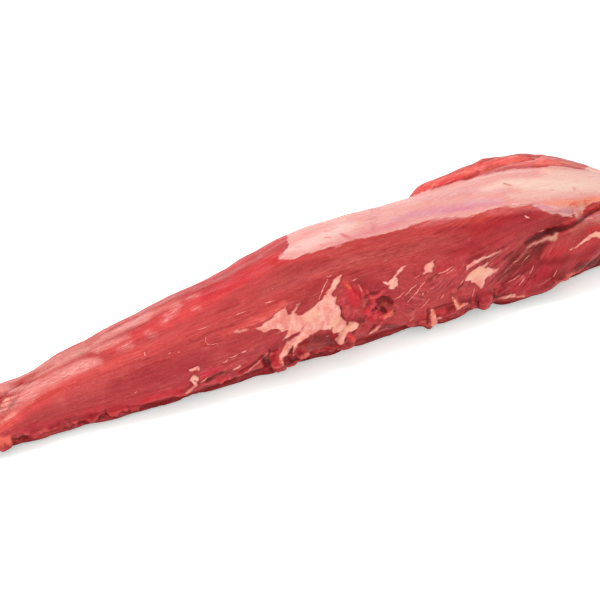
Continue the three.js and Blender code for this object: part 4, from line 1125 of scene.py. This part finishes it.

# the sides that the picture doesn't show get their film, with its painted highlights, and marbling in clouds,
# in the style of the front
BACK_FILM, BACK_FILM_LEAST, FILM_CLOUDS = 14, 4, (-0.1, 0.3)
BACK_MARBLED, MARBLED_CLOUDS = 0.8, (-0.05, 0.25)
cloudy_back = unseen * smooth_step(swells(skin, 50, 13), *FILM_CLOUDS)
film_and_highlight = np.maximum(film_and_highlight, BACK_FILM * cloudy_back * swells(fibre, (40, 12, 1), 14) - BACK_FILM_LEAST)
marbled = np.maximum(marbled, BACK_MARBLED * unseen * smooth_step(swells(skin, 60, 15), *MARBLED_CLOUDS))

# flesh that looks down just above the board, and the foot that meets it, lie in deep shade
LOOKS_DOWN, DOWN_HEIGHTS, FOOT_HEIGHTS = (0.1, 0.75), (6, 16), (0.3, 3)
tucked = smooth_step(-facing[:, 2], *LOOKS_DOWN) * (1 - smooth_step(relief[:, 2], *DOWN_HEIGHTS))
tucked = np.maximum(tucked, 1 - smooth_step(relief[:, 2], *FOOT_HEIGHTS))


def record_on(thing, name, kind, values):
    """Stores one value for each point of a mesh, for its material to read."""
    layer = thing.data.attributes.new(name, kind, "POINT")
    word = {"FLOAT": "value", "FLOAT_VECTOR": "vector", "FLOAT_COLOR": "color"}[kind]
    layer.data.foreach_set(word, np.ascontiguousarray(values, np.float32).ravel())


for name, values in {
    "silver": silver, "fat": fat, "film_and_highlight": film_and_highlight, "orange": orange, "shade": shade, "gap": gap,
    "marbled": marbled, "calm": calm, "cream": cream, "tucked": tucked, "stands_out": stands_out,
}.items():
    record_on(meat, name, "FLOAT", values)
for name, values in {"lean": lean, "pearl": pearl}.items():
    record_on(meat, name, "FLOAT_COLOR", np.hstack([values, np.ones((len(skin), 1))]))
record_on(meat, "fibre", "FLOAT_VECTOR", fibre)


class Finish:
    """A material made of nodes, built up in the order in which its coats lie."""

    def __init__(self, name):
        self.material = bpy.data.materials.new(name)
        self.material.use_nodes = True
        self.tree = self.material.node_tree
        self.shader = self.tree.nodes["Principled BSDF"]

    def add(self, kind, feeds, out=0, **settings):
        """Adds a node, feeds its sockets with values or other nodes, and gives one of its outputs."""
        node = self.tree.nodes.new("ShaderNode" + kind)
        for name, value in settings.items():
            setattr(node, name, value)
        for socket, value in feeds.items():
            if isinstance(value, bpy.types.NodeSocket):
                self.tree.links.new(value, node.inputs[socket])
            else:
                node.inputs[socket].default_value = value
        return node.outputs[out]

    def stored(self, name, out="Fac"):
        """What was recorded at the points of the mesh under a name."""
        return self.add("Attribute", {}, out, attribute_name=name)

    def inside(self):
        """The place inside the piece, in mm."""
        place = self.add("TexCoord", {}, "Object")
        return self.add("VectorMath", {0: place, 1: [1 / MM] * 3}, operation="MULTIPLY")

    def plus(self, a, b, kind="ADD"):
        return self.add("Math", {0: a, 1: b}, operation=kind)

    def times(self, a, b):
        return self.plus(a, b, "MULTIPLY")

    def eased(self, value, gain, least):
        """A share from 0 to 1 made weaker, so that it never falls below a least."""
        return self.plus(self.times(value, gain), least)

    def swing(self, grain, gain):
        """A grain, which keeps near 0.5, as a swing to both sides of 0."""
        return self.times(self.plus(grain, -0.5), gain)

    def middle(self, grain):
        """How far a grain is from its middle, so that 0 draws thin winding lines."""
        return self.plus(self.plus(grain, -0.5), 0.0, "ABSOLUTE")

    def grain(self, place, spacing, detail=2.0, roughness=0.5):
        """Noise with one swell for each spacing, in mm, along every axis of a place in mm."""
        scaled = self.add("VectorMath", {0: place, 1: [1 / s for s in spacing]}, operation="MULTIPLY")
        feeds = {"Vector": scaled, "Scale": 1.0, "Detail": detail, "Roughness": roughness}
        return self.add("TexNoise", feeds)

    def share(self, value, low, high, top=1.0):
        """0 below low, top above high, with an easy slope between."""
        feeds = {"Value": value, "From Min": low, "From Max": high, "To Max": top}
        return self.add("MapRange", feeds, interpolation_type="SMOOTHSTEP")

    def coats(self, colour, *layers, kind="MIX"):
        """Lays one coat after another over a colour, each where its share says."""
        for share, coat in layers:
            colour = self.add("Mix", {0: share, 6: colour, 7: coat}, 2, data_type="RGBA", blend_type=kind)
        return colour

    def set(self, **values):
        """Sets the main shader's sockets, each named with _ for a space."""
        for name, value in values.items():
            socket = self.shader.inputs[name.replace("_", " ")]
            if isinstance(value, bpy.types.NodeSocket):
                self.tree.links.new(value, socket)
            else:
                socket.default_value = value


flesh = Finish("raw_flesh")
along = flesh.stored("fibre", "Vector")
place = flesh.inside()
broad = flesh.grain(along, (38, 8, 9), 3)
strands = flesh.grain(along, (20, 2.6, 9), 3, 0.6)
hairs = flesh.grain(along, (13, 1.4, 9), 3, 0.65)
slashes = flesh.grain(along, (11, 1.7, 9), 2, 0.6)
fissures = flesh.middle(flesh.grain(along, (26, 4.2, 9), 3))
mottle = flesh.grain(place, (7, 7, 7), 4, 0.6)
grit = flesh.grain(place, (1.6, 1.6, 1.6), 2)

# the muscle, whose fibres show more in some places than in others
DEEPER = (0.70, 0.50, 0.54, 1)
PALER = (1.2, 1.9, 1.8, 1)
fibrous = flesh.share(flesh.stored("calm"), 1.0, 0.0)
hairy = flesh.eased(flesh.share(flesh.grain(place, (16, 16, 16), 1), 0.35, 0.6), 0.7, 0.3)
hairy = flesh.times(hairy, flesh.eased(fibrous, 0.7, 0.3))
streaky = flesh.stored("marbled")
colour = flesh.coats(
    flesh.stored("lean", "Color"),
    (flesh.share(broad, 0.48, 0.75, 0.4), DEEPER),
    (flesh.share(mottle, 0.5, 0.75, 0.4), PALER),
    (flesh.times(flesh.share(strands, 0.52, 0.78, 0.45), fibrous), PALER),
    (flesh.times(flesh.share(strands, 0.46, 0.24, 0.6), fibrous), DEEPER),
    (flesh.times(flesh.share(hairs, 0.5, 0.7, 0.85), hairy), PALER),
    (flesh.times(flesh.share(hairs, 0.5, 0.32, 0.85), hairy), DEEPER),
    (flesh.share(grit, 0.54, 0.72, 0.4), PALER),
    (flesh.share(grit, 0.42, 0.25, 0.4), DEEPER),
    (flesh.times(flesh.share(slashes, 0.54, 0.66, 0.75), streaky), PALER),
    (flesh.times(flesh.share(slashes, 0.46, 0.34, 1.0), streaky), DEEPER),
    (flesh.share(fissures, 0.02, 0.0, 0.45), DEEPER),
    kind="MULTIPLY",
)

# fat flecks, thin film with painted wet highlights, painted shade in the gaps, in dark places and along the
# board, painted shade in hollows and a painted highlight on ridges
flecks = flesh.share(flesh.grain(along, (7, 1.3, 9), 2), 0.59, 0.65)
flecks = flesh.times(flesh.times(flecks, flesh.share(mottle, 0.42, 0.6)), streaky)
ragged_edge = flesh.swing(hairs, 1.8)
patchy_edge = flesh.swing(mottle, 6.0)
ladder = flesh.share(flesh.grain(along, (4.5, 1.8, 9), 3, 0.7), 0.4, 0.6)
sheets = flesh.share(flesh.grain(along, (12, 3.5, 9), 3), 0.36, 0.6)
# the pale film, which also carries painted wet highlights
film_and_highlight_here = flesh.share(flesh.plus(flesh.stored("film_and_highlight"), patchy_edge), -3.5, 4.0)
film_and_highlight_here = flesh.times(film_and_highlight_here, flesh.eased(ladder, 0.7, 0.25))
film_and_highlight_here = flesh.times(film_and_highlight_here, flesh.eased(sheets, 0.45, 0.5))
# painted shade in the slits between folds and lobes
painted_gap_shade = flesh.share(flesh.plus(flesh.stored("gap"), ragged_edge), -0.7, 0.5, 0.6)
shade_here = flesh.share(flesh.plus(flesh.stored("shade"), ragged_edge), -0.9, 0.9, 0.7)
board_here = flesh.share(flesh.plus(flesh.stored("tucked"), flesh.swing(hairs, 0.8)), 0.1, 0.95, 0.95)
# painted shade in the hollows and a painted highlight on the ridges
painted_hollow_shade = flesh.share(flesh.stored("stands_out"), 0.05, -0.5)
painted_ridge_highlight = flesh.share(flesh.stored("stands_out"), 0.0, 0.45)
colour = flesh.coats(
    colour,
    (flesh.times(flecks, 0.5), pigment(236, 132, 122)),
    (flesh.times(film_and_highlight_here, 0.85), pigment(248, 176, 168)),
    (flesh.plus(painted_gap_shade, shade_here, "MAXIMUM"), pigment(84, 24, 24)),
    (board_here, pigment(128, 22, 24)),
    (flesh.times(painted_hollow_shade, 0.45), pigment(120, 36, 42)),
    (flesh.times(painted_ridge_highlight, 0.25), pigment(236, 110, 104)),
)

# the silverskin, with a ragged edge and fine streaks
uneven = flesh.plus(flesh.swing(strands, 2.6), flesh.swing(hairs, 0.8))
silver_here = flesh.share(flesh.plus(flesh.stored("silver"), uneven), -0.6, 0.7)
pearly = flesh.coats(
    flesh.stored("pearl", "Color"),
    (flesh.share(strands, 0.5, 0.8, 0.3), pigment(252, 212, 202)),
    (flesh.share(strands, 0.44, 0.2, 0.3), pigment(228, 136, 136)),
    (flesh.share(fissures, 0.012, 0.0, 0.3), pigment(224, 122, 120)),
    (flesh.share(mottle, 0.55, 0.75, 0.3), pigment(236, 152, 146)),
    (flesh.share(grit, 0.55, 0.75, 0.16), pigment(255, 226, 216)),
    (flesh.share(grit, 0.44, 0.25, 0.16), pigment(228, 138, 136)),
    (flesh.share(hairs, 0.52, 0.7, 0.12), pigment(255, 222, 212)),
    (flesh.share(hairs, 0.46, 0.3, 0.12), pigment(226, 138, 136)),
)

# the fat, creamy where it is thick, with painted shade on the flesh along its edge and in its folds and
# hollows
frayed = flesh.plus(ragged_edge, flesh.swing(strands, 2.4))
fat_edge = flesh.plus(flesh.stored("fat"), frayed)
folds = flesh.middle(flesh.grain(place, (6.5, 6.5, 6.5), 2))
creamy = flesh.coats(
    pigment(240, 146, 134),
    (flesh.share(mottle, 0.38, 0.62), pigment(252, 184, 167)),
    (flesh.times(flesh.stored("cream"), 0.85), pigment(248, 184, 154)),
    # orange lines in the fat's folds, painted shade
    (flesh.share(folds, 0.03, 0.0, 0.3), pigment(234, 124, 108)),
    (flesh.share(strands, 0.55, 0.8, 0.3), pigment(234, 128, 112)),
    (flesh.times(painted_hollow_shade, 0.5), pigment(230, 118, 102)),
)
orange_here = flesh.share(flesh.plus(flesh.stored("orange"), patchy_edge), -1.0, 1.2)
colour = flesh.coats(
    colour,
    (silver_here, pearly),
    # painted shade on the flesh just outside the fat's edge
    (flesh.share(fat_edge, -1.3, -0.3, 0.3), pigment(150, 44, 48)),
    (flesh.share(fat_edge, -0.5, 0.6), creamy),
    (flesh.times(orange_here, flesh.share(grit, 0.3, 0.6, 0.75)), pigment(242, 116, 90)),
)

ridges = flesh.add("Bump", {"Strength": 0.6, "Distance": 0.0012, "Height": strands})
ridges = flesh.add("Bump", {"Strength": 0.6, "Distance": 0.0008, "Height": hairs, "Normal": ridges})
ridges = flesh.add("Bump", {"Strength": 0.5, "Distance": 0.0005, "Height": grit, "Normal": ridges})
moist = flesh.plus(flesh.share(mottle, 0.3, 0.7, 0.16), 0.32)
flesh.set(
    Base_Color=colour,
    Normal=ridges,
    Roughness=flesh.plus(moist, flesh.times(board_here, 0.6)),
    Subsurface_Weight=0.12,
    Subsurface_Radius=(1.0, 0.35, 0.25),
    Subsurface_Scale=0.002,
    IOR=1.34,
    Specular_IOR_Level=0.32,
)
meat.data.materials.append(flesh.material)
for face in meat.data.polygons:
    face.use_smooth = True

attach(meat, "root")
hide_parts("tenderloin")

# Sinew and fat threads: fine pale strings and flecks of connective tissue that cling to the flesh, each a
# separate sliver that lies half sunk in the surface.
THREADS_SEEN = [
    # places in the picture and the half width in mm
    [(236, 315, 0.25), (241, 313, 0.45), (246, 311, 0.25)],
    [(265, 303, 0.25), (270, 302, 0.45), (275, 300, 0.25)],
    [(198, 330, 0.2), (204, 328, 0.3), (209, 326, 0.2)],
    [(206, 337, 0.15), (205, 341, 0.22), (208, 344.5, 0.25), (213, 344.5, 0.2), (218, 343, 0.2),
        (217, 346, 0.15)],
    [(405, 295.5, 0.3), (407, 294, 0.6), (411, 289, 0.5), (417, 284.5, 0.2)],
    [(407, 303, 0.2), (412, 297, 0.45), (417, 292, 0.7), (421, 286, 0.55), (425, 281.5, 0.2)],
    [(394, 300, 0.2), (400, 296, 0.4), (405, 291, 0.2)],
    [(438, 274, 0.3), (446, 271, 0.7), (453, 266.5, 0.3)],
    [(446, 274, 0.2), (450, 271.5, 0.4), (455, 269, 0.2)],
    [(440.5, 299, 0.35), (442.5, 296, 0.65), (444.5, 293.5, 0.25)],
    [(421, 308, 0.2), (426, 303, 0.4), (430, 298.5, 0.25)],
    [(411, 318, 0.25), (413, 315, 0.4), (415.5, 309, 0.25)],
    [(409, 322, 0.2), (412, 319, 0.5), (414.5, 315.5, 0.3)],
    [(328, 279, 0.3), (324, 287, 0.5), (321, 294, 0.5), (318.5, 300, 0.3)],
    [(326, 277, 0.3), (329, 277, 0.6), (332, 275, 0.2)],
    [(414, 278.5, 0.2), (420, 275.5, 0.3)],
    [(460, 285, 0.35), (462, 282, 0.6), (464, 280, 0.3)],
    [(461, 219, 0.2), (470, 216, 0.45), (481, 212.5, 0.5), (487, 212, 0.2)],
    [(240, 376, 0.25), (248, 371, 0.45), (257, 363.5, 0.45), (268, 353, 0.25)],
    [(200, 383, 0.25), (204, 380, 0.45), (208, 377, 0.25)],
    [(529.5, 274, 0.25), (532, 269.5, 0.5), (534, 265, 0.25)],
    [(519, 286, 0.3), (522, 281.5, 0.6), (525, 278, 0.3)],
    [(536, 286, 0.1), (543, 283.5, 0.2), (551, 277.5, 0.1)],
    [(553, 277, 0.2), (555.5, 273.5, 0.4), (557, 269.5, 0.2)],
    [(507, 283, 0.25), (514, 279, 0.5), (520, 275, 0.3)],
    [(513, 262.5, 0.25), (516, 261.2, 0.4), (519, 260, 0.2)],
    [(521, 265, 0.2), (526, 258, 0.35), (530, 255, 0.2)],
    [(586, 219.5, 0.3), (590, 218.5, 0.4), (594, 218.5, 0.2)],
    [(538, 232, 0.2), (541, 230.8, 0.35), (544, 230, 0.2)],
    [(519, 243.5, 0.3), (521, 242.5, 0.3)],
    [(510, 206.2, 0.2), (525, 204, 0.4), (541, 203.2, 0.25)],
    [(358, 284, 0.2), (360.5, 288, 0.35), (361.5, 292, 0.2)],
    [(352.5, 281, 0.3), (355, 279.5, 0.6), (357, 278.5, 0.3)],
    [(383, 262, 0.15), (388, 259.5, 0.3)],
    [(353, 314, 0.2), (357, 310, 0.3)],
    [(326, 337, 0.2), (329, 335, 0.35)],
    [(278, 332, 0.2), (284, 330, 0.35), (290, 326, 0.2)],
    [(222, 362.5, 0.25), (226, 361.5, 0.5), (228, 359, 0.3)],
    [(229, 358, 0.2), (236, 355.5, 0.45), (238, 354, 0.2)],
    [(241, 353, 0.3), (244, 351.5, 0.7), (247, 350.5, 0.3)],
    [(144.6, 352, 0.4), (145.4, 356, 0.7)],
    [(168, 354, 0.3), (171, 352.5, 0.6)],
    [(178, 353, 0.3), (180, 351.5, 0.5)],
    [(161, 343.6, 0.3), (162, 343, 0.3)],
    [(271.5, 289.5, 0.4), (273, 288.3, 0.4)],
    [(299, 288.5, 0.3), (300, 287.8, 0.3)],
    [(422, 296, 0.4), (423.5, 292.5, 0.8)],
    [(427, 292.5, 0.3), (428.5, 290.5, 0.5)],
    [(134, 393, 0.3), (137, 391.5, 0.5)],
    [(474, 287, 0.5), (474, 292, 0.6), (472, 297, 0.3)],
    [(493, 160.5, 0.2), (500, 158.8, 0.35), (508, 157.6, 0.2)],
    [(500, 168, 0.2), (508, 166, 0.35), (518, 165, 0.2)],
    [(444, 184, 0.3), (448, 182, 0.5), (455, 178.5, 0.25)],
    [(430, 189.5, 0.3), (433, 187, 0.6), (434, 184, 0.3)],
    [(470, 172.5, 0.2), (478, 170, 0.3), (486, 168.5, 0.2)],
]
THREAD_SIDES = 6
THREAD_STEP = 1.2
THREAD_SUNK, THREAD_FLAT, THREAD_TAPER = 0.15, 0.7, 0.45
THREAD_WANDER = 0.3
THREAD_UNEVEN = 0.55, 1.25
tree = surface_of(meat)
threads = bmesh.new()
for marks in THREADS_SEEN:
    laid = []
    for across, down, half in walk_along(marks, THREAD_STEP):
        across += draw.uniform(-THREAD_WANDER, THREAD_WANDER)
        down += draw.uniform(-THREAD_WANDER, THREAD_WANDER)
        laid.append((*seen(across, down, tree), half * draw.uniform(*THREAD_UNEVEN)))
    path = np.array([place for place, _, _ in laid])
    rings = []
    for k, (place, face, half) in enumerate(laid):
        ahead = path[min(k + 1, len(path) - 1)] - path[max(k - 1, 0)]
        ahead /= np.linalg.norm(ahead)
        side = np.cross(ahead, face)
        side /= np.linalg.norm(side)
        up = np.cross(side, ahead)
        taper = THREAD_TAPER if k in (0, len(laid) - 1) else 1
        ring = []
        for n in range(THREAD_SIDES):
            turn = 2 * math.pi * n / THREAD_SIDES
            rise = THREAD_FLAT * math.sin(turn) + THREAD_SUNK
            spot = place + half * taper * (side * math.cos(turn) + up * rise)
            ring.append(threads.verts.new(spot * MM))
        rings.append(ring)
    for a, b in zip(rings, rings[1:]):
        for n in range(THREAD_SIDES):
            m = (n + 1) % THREAD_SIDES
            threads.faces.new((a[n], a[m], b[m], b[n]))
    threads.faces.new(rings[0][::-1])
    threads.faces.new(rings[-1])
bmesh.ops.recalc_face_normals(threads, faces=threads.faces)
sinew = bpy.data.objects.new("sinew_threads", bpy.data.meshes.new("sinew_threads"))
bpy.context.collection.objects.link(sinew)
threads.to_mesh(sinew.data)
threads.free()
for face in sinew.data.polygons:
    face.use_smooth = True
settle(sinew, "SUBSURF", levels=1)

pale = Finish("pale_sinew")
cloudy = pale.grain(pale.inside(), (2.5, 2.5, 2.5), 2)
pale.set(
    Base_Color=pale.coats(pigment(222, 108, 98), (pale.share(cloudy, 0.35, 0.65), pigment(244, 156, 142))),
    Roughness=0.4,
    Normal=pale.add("Bump", {"Strength": 0.3, "Distance": 0.0003, "Height": cloudy}),
)
sinew.data.materials.append(pale.material)
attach(sinew, "root")

# The board: a plain white surface that the meat lies on, under soft white light.
floor = bpy.data.objects.new("board_floor", bpy.data.meshes.new("board_floor"))
bpy.context.collection.objects.link(floor)
FLOOR_SIDE, FLOOR_BELOW = 6.0, 0.00005
floor_corners = [(x * FLOOR_SIDE / 2, y * FLOOR_SIDE / 2, 0) for x, y in ((-1, -1), (1, -1), (1, 1), (-1, 1))]
floor.data.from_pydata(floor_corners, [], [(0, 1, 2, 3)])
floor.location.z = -FLOOR_BELOW
white = Finish("white_board")
haze = white.grain(white.inside(), (400, 400, 400), 2)
white.set(
    Base_Color=white.coats((0.86, 0.86, 0.855, 1), (white.share(haze, 0.3, 0.7), (0.88, 0.88, 0.88, 1))),
    Roughness=0.9,
    Specular_IOR_Level=0.1,
    Emission_Color=(0.8, 1, 0.97, 1),
    Emission_Strength=0.4,
)
floor.data.materials.append(white.material)

world = bpy.data.worlds.new("studio")
bpy.context.scene.world = world
world.use_nodes = True
world.node_tree.nodes["Background"].inputs["Color"].default_value = (1, 1, 1, 1)
world.node_tree.nodes["Background"].inputs["Strength"].default_value = 1.0


def softbox(name, place, aimed_at, side, watts):
    """A square soft light."""
    lamp = bpy.data.objects.new(name, bpy.data.lights.new(name, "AREA"))
    bpy.context.collection.objects.link(lamp)
    lamp.data.size = side
    lamp.data.energy = watts
    lamp.location = place
    lamp.rotation_euler = (Vector(place) - Vector(aimed_at)).to_track_quat("Z", "Y").to_euler()


softbox("soft_above", (-0.25, 0.35, 1.5), (0, 0, 0), 0.7, 13)
softbox("bright_spot", (-0.75, 0.1, 1.0), (-0.1, 0, 0.05), 0.16, 1.6)
softbox("soft_front", (-1.1, -1.0, 0.9), (0, 0, 0.03), 0.7, 4)
